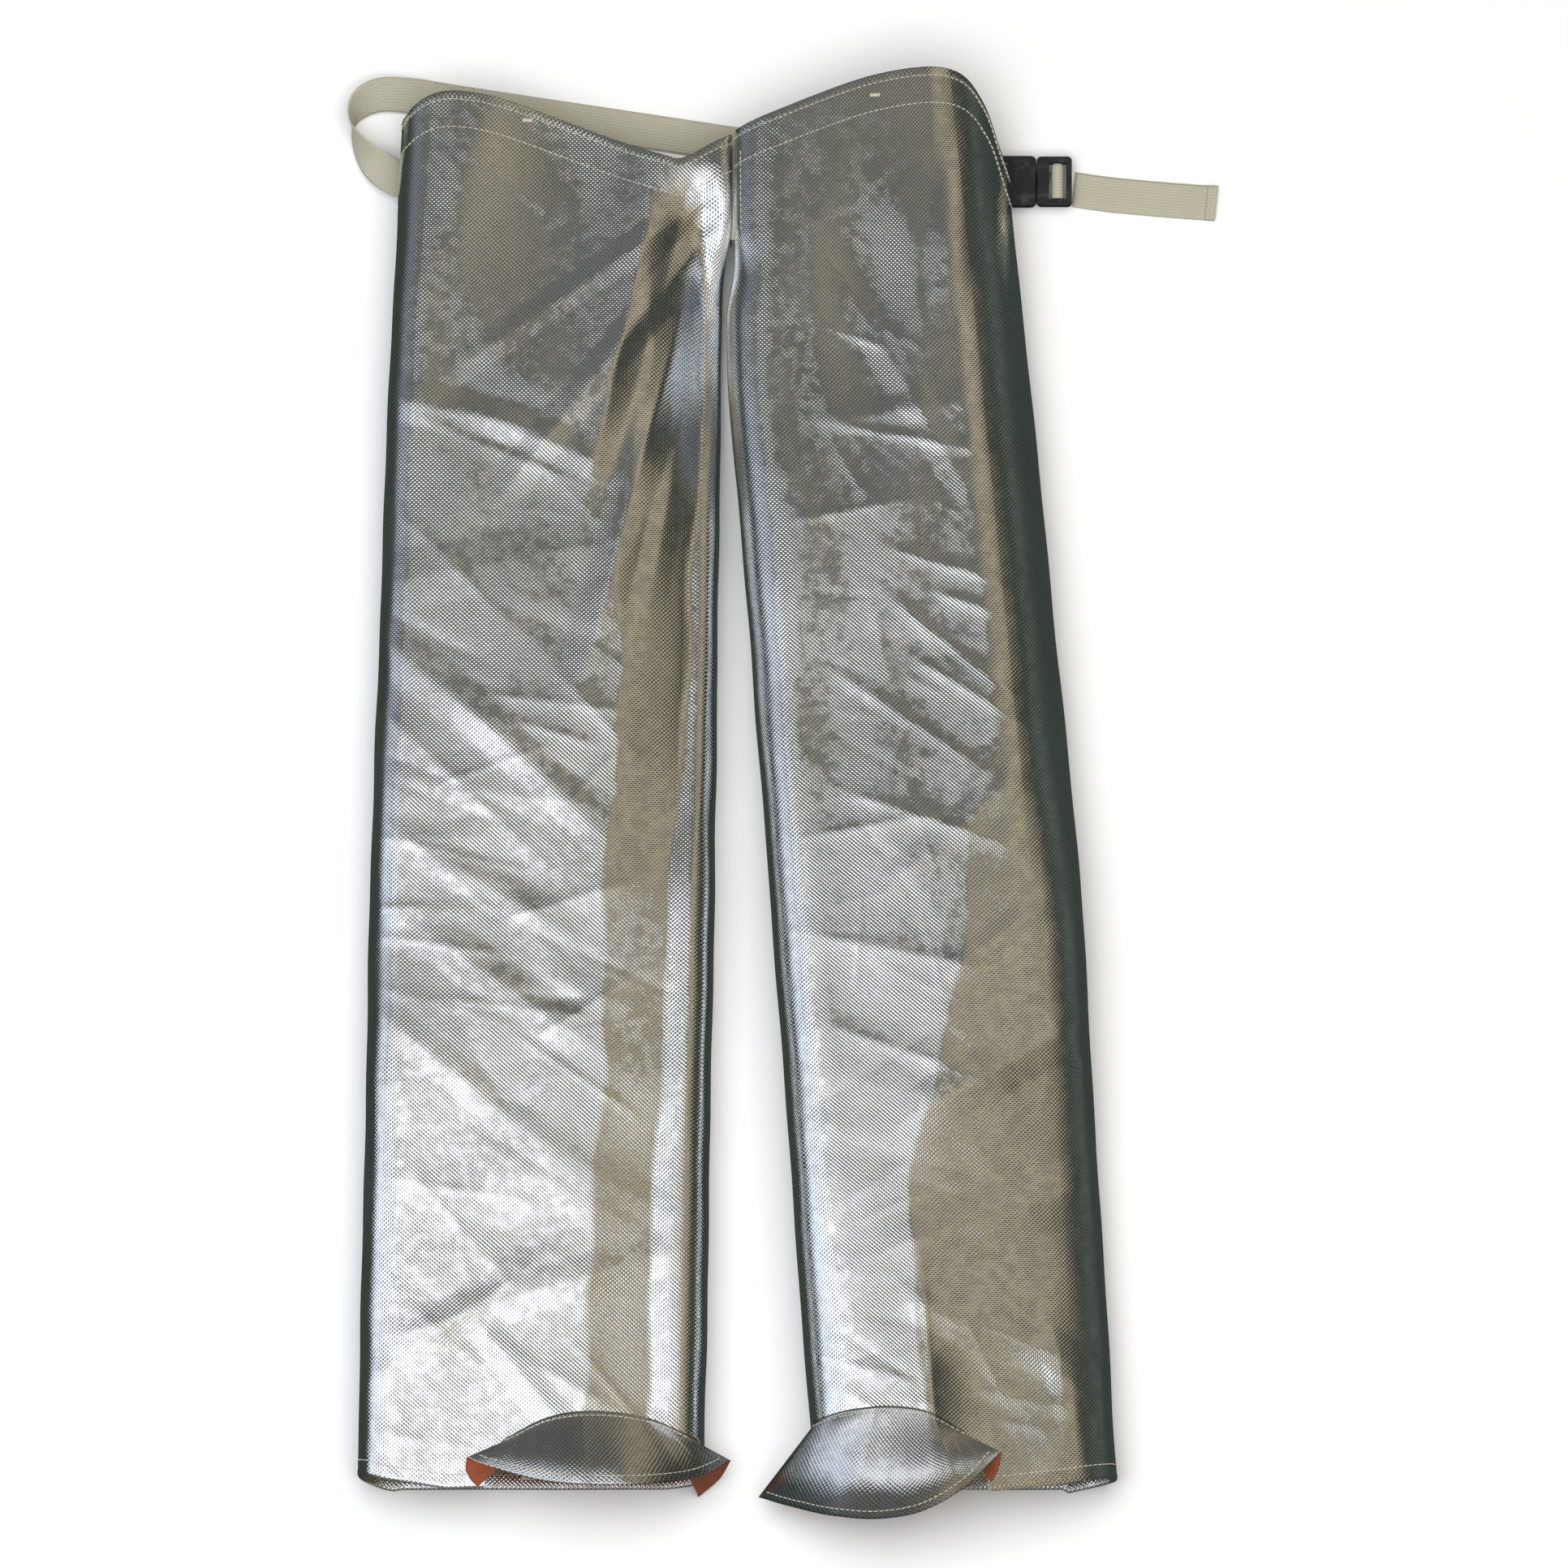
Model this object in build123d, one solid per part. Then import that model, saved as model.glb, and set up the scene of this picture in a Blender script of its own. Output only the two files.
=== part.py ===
from build123d import *
import math
import os

# Heat-resistant leg chaps lying on their back: +X is the viewer's right, +Y runs from the hems
# to the waist, +Z is up. Lengths are in millimetres and angles in degrees.

# Fabric and webbing
WALL = 2.0                  # outer shell of a leg, aluminised cloth with its backing
FACING = 1.2                # single turned-in layer
WEB_WIDTH = 25.4            # one-inch belt webbing
WEB = 1.4                   # thickness of the webbing
GAP = 0.4                   # clearance between pieces that move against each other

# Leg tubes: the flattened tube's height, and its two side edges at four stations along Y
WAIST_Y = 535.0             # above the highest point of the waist edge
CROTCH_Y = 334.0
KNEE_Y = -60.0
HEM_Y = -505.0
LEFT_HEIGHT = 52.0
RIGHT_HEIGHT = 70.0
LEFT_WAIST = ((WAIST_Y, -272.0, -37.9), (CROTCH_Y - 40.0, -283.0, -37.9))
LEFT_THIGH = ((440.0, -276.0, -45.0), (KNEE_Y, -295.5, -49.2))
LEFT_SHIN = ((KNEE_Y, -295.5, -49.2), (HEM_Y, -304.0, -57.0))
RIGHT_WAIST = ((WAIST_Y, 152.0, -34.7), (CROTCH_Y - 40.0, 176.5, -34.7))
RIGHT_THIGH = ((440.0, 161.5, -43.7), (KNEE_Y, 211.4, -11.6))
RIGHT_SHIN = ((KNEE_Y, 211.4, -11.6), (HEM_Y, 237.5, 21.5))
SEAM_X = -36.3              # plane of the centre rise seam
RISE_LOW_Y = 394.0          # lower end of the rise seam

# Hips: each leg swings sideways about an upright axis, inside a round cut in the waist panel
LEFT_HIP = (-164.0, 300.0)
LEFT_HIP_RADIUS = 127.0
RIGHT_HIP = (68.0, 300.0)
RIGHT_HIP_RADIUS = 114.0
WAIST_SIDE_Z = 16.0         # the front panel wraps round the side down to this height
SEAT_OUTER_Y = 372.0        # top of the back panel at the outer hip
SEAT_INNER_Y = 318.0        # top of the back panel at the crotch

# Casing along the waist edge
CASING = 30.0               # depth of the turned-in facing
TUNNEL_EDGE = 3.0           # the webbing's upper edge lies this far below the waist edge

# Hem, seams and tacks
HEM_DEPTH = 16.0
SEAM_WIDTH = 14.0
SEAM_THICK = 1.6

# Side-release buckle for one-inch webbing, lying flat right of the waist
BUCKLE_Y = 444.0            # centre line of the buckle
BUCKLE_WIDTH = 36.5
BUCKLE_LOW = 2.4
BUCKLE_TOP = 12.4
SOCKET_X = 146.5            # outer side of the socket's strap bar
SOCKET_MOUTH = 181.0
PLUG_X = 181.5              # inner face of the plug's flange
PLUG_END = 206.5            # outer side of the plug's end bar
BAR_X = 193.6               # near side of the ladder bar
BAR_WIDTH = 5.4
STRAP_ROOM = 26.8           # clear width between the rails, for the webbing
ARM_REACH = 16.5
ARM_Y = 11.6                # centre line of each spring arm, from the buckle's centre line
ARM_WIDTH = 2.4
BARB_LENGTH = 9.0

# Belt outside the casing: the loop past the left hip, the run under the back, and the tail
LOOP_STATIONS = (
    # x, y, z, heading, roll: the webbing lies flat at roll 0 and 180 and stands on edge at 90
    (-262.0, 441.0, 9.0, 165.0, 0.0),
    (-280.0, 447.0, 10.0, 155.0, 8.0),
    (-297.0, 460.0, 12.0, 128.0, 45.0),
    (-309.6, 482.0, 13.2, 90.0, 90.0),
    (-302.0, 503.0, 11.5, 40.0, 135.0),
    (-283.0, 511.5, 4.5, 5.0, 168.0),
    (-262.0, 509.0, 0.9, -8.7, 180.0),
)
BACK_RUN_START = (-261.0, 508.8)
BACK_RUN_END = (190.2, 439.6)
TAIL_START = (208.0, 439.0)
TAIL_END = (310.3, 428.0)
TAIL_HEM = 7.0

LONG = 700.0                # longer than any piece, for cutting tools


def xz_plane(y):
    """Plane across the leg at height y, with its local axes along X and Z."""
    return Plane(origin=(0, y, 0), x_dir=(1, 0, 0), z_dir=(0, -1, 0))


def tube(stations, height, inset=0.0):
    """Solid flattened tube lofted through the stations, shrunk all round by the inset."""
    sections = []
    for y, edge_a, edge_b in stations:
        width = abs(edge_b - edge_a) - 2 * inset
        middle = (edge_a + edge_b) / 2
        section = SlotOverall(width, height - 2 * inset)
        sections.append(xz_plane(y) * Pos(middle, height / 2) * section)
    return loft(sections, ruled=True)


def tube_wall(stations, height, outer=0.0, thickness=WALL):
    """Open tube wall between two insets."""
    return tube(stations, height, outer) - tube(stations, height, outer + thickness)


def prism(points, low, high):
    """Upright prism over a closed plan outline."""
    outline = make_face(Polyline(*points, close=True))
    return extrude(Pos(0, 0, low) * outline, high - low)


def under_curve(curve, drop, low_y):
    """Upright prism below a waist edge curve that is lowered by drop."""
    edge = Pos(0, -drop, 0) * curve
    start = edge @ 0
    end = edge @ 1
    sides = Polyline((end.X, end.Y), (LONG, end.Y), (LONG, low_y), (-LONG, low_y), (-LONG, start.Y),
                     (start.X, start.Y))
    face = make_face(Curve() + [edge, sides])
    return extrude(Pos(0, 0, -5) * face, 120)


def slab(x0, x1, y0, y1, z0, z1):
    """Box between opposite corners."""
    middle = ((x0 + x1) / 2, (y0 + y1) / 2, (z0 + z1) / 2)
    return Pos(*middle) * Box(x1 - x0, y1 - y0, z1 - z0)


def largest(shape):
    """The biggest solid of a cut shape, without its slivers."""
    return sorted(shape.solids(), key=lambda solid: solid.volume)[-1]


def hip_cylinder(hip, radius):
    """Upright cylinder about a hip axis."""
    return Pos(hip[0], hip[1], 40) * Cylinder(radius, 120)


def seat_cut(outer_x, inner_x, height):
    """Tool that removes the back of a thigh above the slanted seat line."""
    outline = [(outer_x, SEAT_OUTER_Y), (inner_x, SEAT_INNER_Y), (inner_x, LONG), (outer_x, LONG)]
    return prism(outline, -5, height * 0.42)


# Waist edge curves, in plan, from the outer hip to the centre seam
left_edge = Spline((-290, 462), (-268, 484), (-246, 500), (-205, 497), (-120, 466), (-71, 452),
                   (SEAM_X, 470))
right_edge = Spline((SEAM_X, 470), (-9, 482), (64, 509), (118, 514.5), (143, 494), (157, 456),
                    (172, 420))


def waist_panel(stations, height, hip, radius, curve, middle_x):
    """Front panel above a hip's round cut, up to the waist edge."""
    panel = tube_wall(stations, height) & under_curve(curve, 0, hip[1])
    panel = panel & slab(-LONG, LONG, -LONG, LONG, WAIST_SIDE_Z, 120)
    panel = panel - hip_cylinder(hip, radius)
    side = 1 if middle_x > hip[0] else -1
    notch = prism([(SEAM_X, RISE_LOW_Y), (SEAM_X - 9 * side, 300), (SEAM_X + 2 * side, 300)], -5, 120)
    return largest(panel - notch)


def casing_layer(stations, height, curve, hip, outer, thickness, upper, lower, floor_z):
    """Layer inside the waist panel that follows the waist edge between two depths."""
    layer = tube_wall(stations, height, outer, thickness)
    layer = layer & under_curve(curve, upper, hip[1])
    layer = layer - under_curve(curve, lower, hip[1] - LONG)
    layer = layer & slab(-LONG, LONG, -LONG, LONG, floor_z, 120)
    return largest(layer)


def thigh_panel(stations, height, hip, radius, outer_x, inner_x):
    """Leg tube from the knee up to the round hip joint, with the seat cut away behind."""
    wall = tube_wall(stations, height)
    hip_end = hip_cylinder(hip, radius - GAP)
    below_hip = slab(-LONG, LONG, KNEE_Y - 1, hip[1], -5, 120)
    wall = wall & (hip_end + below_hip)
    wall = wall - slab(-LONG, LONG, -LONG, KNEE_Y + GAP, -5, 120)
    return largest(wall - seat_cut(outer_x, inner_x, height))


def flare_face(points):
    """Ruled surface between the seam arc and the free edge arc of a spat."""
    seam_left, seam_top, seam_right, tip_left, edge_low, tip_right = points
    seam_arc = ThreePointArc(seam_left, seam_top, seam_right)
    edge_arc = ThreePointArc(tip_left, edge_low, tip_right)
    return Face.make_surface_from_curves(seam_arc.edge(), edge_arc.edge())


def layer_on(face, low, high):
    """Solid layer over a surface, between two heights along the upward normal."""
    up = 1 if face.normal_at().Z > 0 else -1
    base = Pos(0, 0, low) * face
    return thicken(base, up * (high - low))


def mouth_cut(outline, height):
    """Tool that opens the front of a shin below its flare: an arc, two sides and the hem."""
    outer_corner, outer_seam, top, inner_seam = outline
    arc = ThreePointArc(outer_seam, top, inner_seam)
    low_y = HEM_Y - 9
    sides = Polyline(inner_seam, (inner_seam[0], low_y), (outer_corner[0], low_y), outer_corner,
                     outer_seam)
    face = make_face(Curve() + [arc, sides])
    return extrude(Pos(0, 0, height / 2 - 4) * face, height)


def seam_strip(top, bottom, low_z):
    """Flat seam allowance along the inside of the back, from one end point to the other."""
    half = SEAM_WIDTH / 2
    outline = [(top[0] - half, top[1]), (top[0] + half, top[1]),
               (bottom[0] + half, bottom[1]), (bottom[0] - half, bottom[1])]
    return prism(outline, low_z, low_z + SEAM_THICK)


def middle(stations, y):
    """Centre of a leg tube at y."""
    (y_a, a0, a1), (y_b, b0, b1) = stations
    share = (y - y_a) / (y_b - y_a)
    return ((a0 + a1) * (1 - share) + (b0 + b1) * share) / 2


parts = {}

# Waist: front panels, turned-in facings and the webbing's front run inside the casing
parts["left_waist_panel"] = waist_panel(LEFT_WAIST, LEFT_HEIGHT, LEFT_HIP, LEFT_HIP_RADIUS,
                                        left_edge, SEAM_X)
parts["right_waist_panel"] = waist_panel(RIGHT_WAIST, RIGHT_HEIGHT, RIGHT_HIP, RIGHT_HIP_RADIUS,
                                         right_edge, SEAM_X)
web_inset = WALL + 0.3
facing_inset = web_inset + WEB + 0.3
for name, stations, height, curve, hip in (
        ("left", LEFT_WAIST, LEFT_HEIGHT, left_edge, LEFT_HIP),
        ("right", RIGHT_WAIST, RIGHT_HEIGHT, right_edge, RIGHT_HIP)):
    parts[name + "_casing_facing"] = casing_layer(
        stations, height, curve, hip, facing_inset, FACING, 1.0, CASING, WAIST_SIDE_Z + 4)
    parts[name + "_casing_webbing"] = casing_layer(
        stations, height, curve, hip, web_inset, WEB, TUNNEL_EDGE, TUNNEL_EDGE + WEB_WIDTH,
        WAIST_SIDE_Z + 2)

# Centre rise seam: both seam allowances stand inward between the panels
parts["rise_seam_allowance"] = slab(SEAM_X - 1.2, SEAM_X + 1.2, RISE_LOW_Y + 4, 462, 10, 38)
parts["crotch_bartack"] = slab(SEAM_X - 1.1, SEAM_X + 1.1, RISE_LOW_Y + 0.5, RISE_LOW_Y + 3.5, 12, 36)
tack = Box(7, 2.4, 0.9)
parts["casing_bartacks"] = (Pos(-184, 481, LEFT_HEIGHT + 0.55) * tack
                            + Pos(65, 495, RIGHT_HEIGHT + 0.55) * tack)

# Legs
hem_inset = WALL + 0.2
LEGS = {
    "left": (LEFT_THIGH, LEFT_SHIN, LEFT_HEIGHT, LEFT_HIP, LEFT_HIP_RADIUS, -300.0, -30.0),
    "right": (RIGHT_THIGH, RIGHT_SHIN, RIGHT_HEIGHT, RIGHT_HIP, RIGHT_HIP_RADIUS, 200.0, -45.0),
}
FLARES = {
    # seam left, seam top, seam right, tip left, free edge, tip right
    "left": ((-198, -478, 50.5), (-134, -460, 50.5), (-70, -473, 49.0),
             (-221, -496, 56.0), (-134, -520, 80.0), (-38, -492, 25.0)),
    "right": ((24, -466, 52.0), (74, -460, 68.5), (127, -475, 68.5),
              (-17, -515, 16.0), (65, -537.5, 60.0), (154, -493, 76.0)),
}
MOUTHS = {
    # outer corner, outer end of the seam arc, top of the arc, inner end of the arc
    "left": ((-213, -489), (-199, -476), (-134, -456.5), (-60, -474)),
    "right": ((145, -487), (128, -473), (76, -456), (19, -466)),
}
for side, (thigh, shin, height, hip, radius, outer_x, inner_x) in LEGS.items():
    parts[side + "_thigh_panel"] = thigh_panel(thigh, height, hip, radius, outer_x, inner_x)
    seam_top = SEAT_INNER_Y - 4
    parts[side + "_thigh_back_seam"] = seam_strip(
        (middle(thigh, seam_top), seam_top),
        (middle(thigh, KNEE_Y + 2), KNEE_Y + 2), WALL + 0.2)
    face = flare_face(FLARES[side])
    mouth = mouth_cut(MOUTHS[side], height)
    shin_wall = tube_wall(shin, height) - slab(-LONG, LONG, KNEE_Y - GAP, LONG, -5, 120)
    parts[side + "_shin_panel"] = largest(shin_wall - mouth)
    hem_wall = tube_wall(shin, height, hem_inset, FACING)
    hem_wall = hem_wall & slab(-LONG, LONG, HEM_Y + 0.2, HEM_Y + HEM_DEPTH, -5, 120)
    parts[side + "_hem_facing"] = largest(hem_wall - mouth)
    parts[side + "_shin_back_seam"] = seam_strip(
        (middle(shin, KNEE_Y - 2), KNEE_Y - 2),
        (middle(shin, HEM_Y + HEM_DEPTH + 1), HEM_Y + HEM_DEPTH + 1), WALL + 0.2)
    parts[side + "_flare_shell"] = layer_on(face, 0.0, 1.8)
    parts[side + "_flare_lining"] = layer_on(face, -0.5, -1.6)


# Webbing outside the casing


def webbing_section(x, y, z, heading, roll):
    """Rectangular section of the webbing, turned to its heading and rolled about it."""
    turn = math.radians(heading)
    lean = math.radians(roll)
    along = Vector(math.cos(turn), math.sin(turn), 0)
    across = Vector(-math.sin(turn) * math.cos(lean), math.cos(turn) * math.cos(lean), -math.sin(lean))
    return Plane(origin=(x, y, z), x_dir=across, z_dir=along) * Rectangle(WEB_WIDTH, WEB)


def webbing_strip(start, end, low):
    """Straight flat length of webbing between two plan points."""
    run = Vector(end[0] - start[0], end[1] - start[1], 0)
    place = Plane(origin=(start[0], start[1], low), x_dir=run.normalized(), z_dir=(0, 0, 1))
    return place * Pos(run.length / 2, 0, WEB / 2) * Box(run.length, WEB_WIDTH, WEB)


def webbing_bend(stations):
    """Webbing lofted from station to station, so that it can twist as it turns."""
    sections = [webbing_section(*station) for station in stations]
    spans = [loft([a, b], ruled=True) for a, b in zip(sections, sections[1:])]
    return sum(spans[1:], spans[0])


parts["belt_hip_loop"] = webbing_bend(LOOP_STATIONS)
parts["belt_back_run"] = webbing_strip(BACK_RUN_START, BACK_RUN_END, 0.0)
parts["belt_tail"] = webbing_strip(TAIL_START, TAIL_END, 0.0)
tail_run = Vector(TAIL_END[0] - TAIL_START[0], TAIL_END[1] - TAIL_START[1], 0).normalized() * TAIL_HEM
parts["belt_tail_hem"] = webbing_strip(
    (TAIL_END[0] - tail_run.X, TAIL_END[1] - tail_run.Y), TAIL_END, WEB + 0.1)

# The webbing's fixed end: sewn round the socket's bar and up into the casing
web_low = BUCKLE_Y - WEB_WIDTH / 2
web_high = BUCKLE_Y + WEB_WIDTH / 2
bar_ring = slab(SOCKET_X - 1.8, SOCKET_X + 4.8, web_low, web_high, BUCKLE_LOW - 0.2, BUCKLE_TOP + 0.2)
bar_room = slab(SOCKET_X - 0.4, SOCKET_X + 3.4, web_low - 1, web_high + 1, 3.6, BUCKLE_TOP - 1.2)
tongue = slab(SOCKET_X - 1.8, SOCKET_X + 13, web_low, web_high, BUCKLE_TOP + 0.4,
              BUCKLE_TOP + 0.4 + WEB)
tongue_root = slab(SOCKET_X - 1.8, SOCKET_X + 4.8, web_low, web_high, BUCKLE_TOP, BUCKLE_TOP + 0.4 + WEB)
parts["belt_socket_end"] = bar_ring + tongue_root + tongue - bar_room


def buckle_body(x0, x1, z0, z1, width, corner, edge):
    """Moulded block on the buckle's centre line with rounded corners and edges."""
    block = slab(x0, x1, BUCKLE_Y - width / 2, BUCKLE_Y + width / 2, z0, z1)
    block = fillet(block.edges().filter_by(Axis.Z), corner)
    rims = block.faces().sort_by(Axis.Z)[-1].edges() + block.faces().sort_by(Axis.Z)[0].edges()
    return fillet(rims, edge)


def across_buckle(x0, x1, half, z0, z1):
    """Cutting block that reaches half a width to each side of the buckle's centre line."""
    return slab(x0, x1, BUCKLE_Y - half, BUCKLE_Y + half, z0, z1)


# Socket: a flat sleeve with a window in each side and a slot with a bar for the fixed end
socket = buckle_body(SOCKET_X, SOCKET_MOUTH, BUCKLE_LOW, BUCKLE_TOP, BUCKLE_WIDTH, 4.0, 1.6)
socket = socket - across_buckle(SOCKET_X + 10.5, SOCKET_MOUTH + 1, 14.4, 4.2, 10.6)
window_x = PLUG_X - ARM_REACH - 0.7
socket = socket - across_buckle(window_x, window_x + 12.0, BUCKLE_WIDTH, 4.2, 10.6)
socket = socket - across_buckle(SOCKET_X + 3.0, SOCKET_X + 5.8, STRAP_ROOM / 2, 0, 20)
bar_relief = (across_buckle(SOCKET_X - 2, SOCKET_X + 3.0, STRAP_ROOM / 2, 0, 4.0)
              + across_buckle(SOCKET_X - 2, SOCKET_X + 3.0, STRAP_ROOM / 2, BUCKLE_TOP - 1.6, 20))
parts["buckle_socket"] = socket - bar_relief

# Plug: flange, guide tongue and a ladder lock with its bar
plug = buckle_body(PLUG_X, PLUG_END, BUCKLE_LOW + 0.4, BUCKLE_TOP - 0.6, BUCKLE_WIDTH - 0.8, 3.0, 1.2)
slot_near = across_buckle(BAR_X - 3.4, BAR_X, STRAP_ROOM / 2, 0, 20)
slot_far = across_buckle(BAR_X + BAR_WIDTH, BAR_X + BAR_WIDTH + 3.4, STRAP_ROOM / 2, 0, 20)
bar_top = BUCKLE_TOP - 2.8
bar_step = (across_buckle(BAR_X - 1, BAR_X + BAR_WIDTH + 1, STRAP_ROOM / 2, bar_top, 20)
            + across_buckle(BAR_X - 1, BAR_X + BAR_WIDTH + 1, STRAP_ROOM / 2, 0, BUCKLE_LOW + 2.2))
guide = across_buckle(PLUG_X - ARM_REACH + 3.0, PLUG_X + 2.0, 2.8, 5.4, 9.4)
parts["buckle_plug"] = plug - slot_near - slot_far - bar_step + guide

# Spring arms: one each side of the guide tongue, each with a barb that fills its window
for name, sign in (("front", -1), ("rear", 1)):
    arm_line = BUCKLE_Y + sign * ARM_Y
    root_x = PLUG_X - GAP
    tip_x = PLUG_X - ARM_REACH
    beam = slab(tip_x, root_x, arm_line - ARM_WIDTH / 2, arm_line + ARM_WIDTH / 2, 4.8, 10.0)
    barb_out = sign * (BUCKLE_WIDTH / 2 - 0.6)
    barb = prism([(tip_x, arm_line), (tip_x + 1.2, BUCKLE_Y + barb_out),
                  (tip_x + BARB_LENGTH, BUCKLE_Y + barb_out), (tip_x + BARB_LENGTH + 1.0, arm_line)],
                 4.8, 10.0)
    parts["buckle_arm_" + name] = beam + barb

# Webbing wrapped over the ladder bar
wrap_near = BAR_X - 0.4 - WEB
wrap_far = BAR_X + BAR_WIDTH + 0.4 + WEB
wrap = across_buckle(wrap_near, wrap_far, WEB_WIDTH / 2, BUCKLE_LOW, bar_top + 0.3 + WEB)
wrap_room = across_buckle(BAR_X - 0.4, BAR_X + BAR_WIDTH + 0.4, WEB_WIDTH, 0, bar_top + 0.3)
parts["belt_bar_wrap"] = wrap - wrap_room

# Put the origin under the middle of the whole garment and write one file for each piece
whole = Compound(children=[Compound(shape.solids()) for shape in parts.values()]).bounding_box()
shift = Pos(-(whole.min.X + whole.max.X) / 2, -(whole.min.Y + whole.max.Y) / 2, -whole.min.Z)
print("moved by", shift.position, "size", whole.size)
os.makedirs("parts", exist_ok=True)
for name, shape in parts.items():
    solids = (shift * shape).solids()
    piece = solids[0] if len(solids) == 1 else Compound(solids)
    piece.label = name
    export_step(piece, "parts/" + name + ".step")
    print(name, len(solids), round(piece.volume))
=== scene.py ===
import math

import bpy
import numpy as np
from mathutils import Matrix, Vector


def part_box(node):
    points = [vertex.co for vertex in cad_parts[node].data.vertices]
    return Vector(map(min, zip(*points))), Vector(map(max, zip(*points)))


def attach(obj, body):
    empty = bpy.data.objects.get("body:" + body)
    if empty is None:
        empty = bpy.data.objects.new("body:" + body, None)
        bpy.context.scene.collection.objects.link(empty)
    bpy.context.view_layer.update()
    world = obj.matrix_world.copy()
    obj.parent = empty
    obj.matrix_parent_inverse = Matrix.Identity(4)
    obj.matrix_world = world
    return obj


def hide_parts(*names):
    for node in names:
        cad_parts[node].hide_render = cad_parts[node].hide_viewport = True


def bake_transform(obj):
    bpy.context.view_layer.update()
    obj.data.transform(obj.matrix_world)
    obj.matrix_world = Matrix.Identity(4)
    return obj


# Aluminised heat-resistant leg chaps lying on their back. Shapes are worked out in millimetres,
# in the drawing frame of the CAD pieces, and go to the row frame in metres by to_frame().

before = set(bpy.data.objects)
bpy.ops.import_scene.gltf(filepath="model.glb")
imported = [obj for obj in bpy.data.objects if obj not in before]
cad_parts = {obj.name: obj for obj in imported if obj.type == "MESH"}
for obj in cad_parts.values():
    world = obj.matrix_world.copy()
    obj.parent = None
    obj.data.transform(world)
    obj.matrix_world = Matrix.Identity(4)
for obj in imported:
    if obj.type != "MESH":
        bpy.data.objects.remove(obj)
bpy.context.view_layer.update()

MM = 0.001
RISE_X = -36.3               # plane of the centre seam
ALLOWANCE_LOW_Y = 398.0      # lower end of the CAD piece for that seam's allowance
rise_low, rise_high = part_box("rise_seam_allowance")
SHIFT = np.array([(rise_low.x + rise_high.x) / 2 - RISE_X * MM, rise_low.y - ALLOWANCE_LOW_Y * MM, 0.0])
rng = np.random.default_rng(71)

# Camera: from the feet side, 80 degrees above the floor, far enough away to be almost parallel
CAMERA_DISTANCE = 24.0
FRAME_WIDTH = 1.1206
target = Vector((-0.0007, 0.0084, 0.030))
elevation = math.radians(80)
camera_data = bpy.data.cameras.new("camera")
camera_data.sensor_width = 36
camera_data.lens = 36 * CAMERA_DISTANCE / FRAME_WIDTH
camera_data.clip_end = 300
camera = bpy.data.objects.new("camera", camera_data)
camera.location = target + CAMERA_DISTANCE * Vector((0, -math.cos(elevation), math.sin(elevation)))
camera.rotation_euler = (target - camera.location).to_track_quat("-Z", "Y").to_euler()
bpy.context.scene.collection.objects.link(camera)
bpy.context.scene.camera = camera
bpy.context.scene.view_settings.view_transform = "Standard"


# ---------------------------------------------------------------- materials


class NodeTree:
    """The nodes of a material or a world, with short calls to add and join them."""

    def __init__(self, owner):
        owner.use_nodes = True
        self.nodes = owner.node_tree.nodes
        self.links = owner.node_tree.links

    def put(self, socket, value):
        """Joins an output to a socket, or sets the socket to a number or colour."""
        if isinstance(value, bpy.types.NodeSocket):
            self.links.new(value, socket)
        elif value is not None:
            socket.default_value = value

    def math(self, operation, a, b=None):
        node = self.nodes.new("ShaderNodeMath")
        node.operation = operation
        self.put(node.inputs[0], a)
        self.put(node.inputs[1], b)
        return node.outputs[0]

    def noise(self, scale, detail=2.0, vector=None, roughness=0.5):
        node = self.nodes.new("ShaderNodeTexNoise")
        node.inputs["Scale"].default_value = scale
        node.inputs["Detail"].default_value = detail
        node.inputs["Roughness"].default_value = roughness
        self.put(node.inputs["Vector"], vector or self.place())
        return node.outputs["Fac"]

    def place(self):
        """The point's own place on the object, which moves with it."""
        return self.nodes.new("ShaderNodeTexCoord").outputs["Object"]

    def cloth(self):
        """Distance along and across the cloth, in metres."""
        node = self.nodes.new("ShaderNodeUVMap")
        node.uv_map = "cloth"
        split = self.nodes.new("ShaderNodeSeparateXYZ")
        self.links.new(node.outputs[0], split.inputs[0])
        return split.outputs[0], split.outputs[1]

    def streaks(self, across, along, fine_across, fine_along):
        """Noise drawn out across the cloth, as uneven yarns are."""
        join = self.nodes.new("ShaderNodeCombineXYZ")
        self.put(join.inputs[0], self.math("MULTIPLY", across, fine_across))
        self.put(join.inputs[1], self.math("MULTIPLY", along, fine_along))
        return self.noise(1.0, 2.0, join.outputs[0], 0.6)

    def spread(self, value, low, high, out_low, out_high):
        """Takes the range from low to high softly to another range."""
        node = self.nodes.new("ShaderNodeMapRange")
        node.interpolation_type = "SMOOTHSTEP"
        for index, number in enumerate((value, low, high, out_low, out_high)):
            self.put(node.inputs[index], number)
        return node.outputs[0]

    def mix(self, share, colour_a, colour_b):
        node = self.nodes.new("ShaderNodeMix")
        node.data_type = "RGBA"
        self.put(node.inputs[0], share)
        for socket, colour in ((node.inputs[6], colour_a), (node.inputs[7], colour_b)):
            self.put(socket, colour if isinstance(colour, bpy.types.NodeSocket) else (*colour, 1))
        return node.outputs[2]


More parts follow.
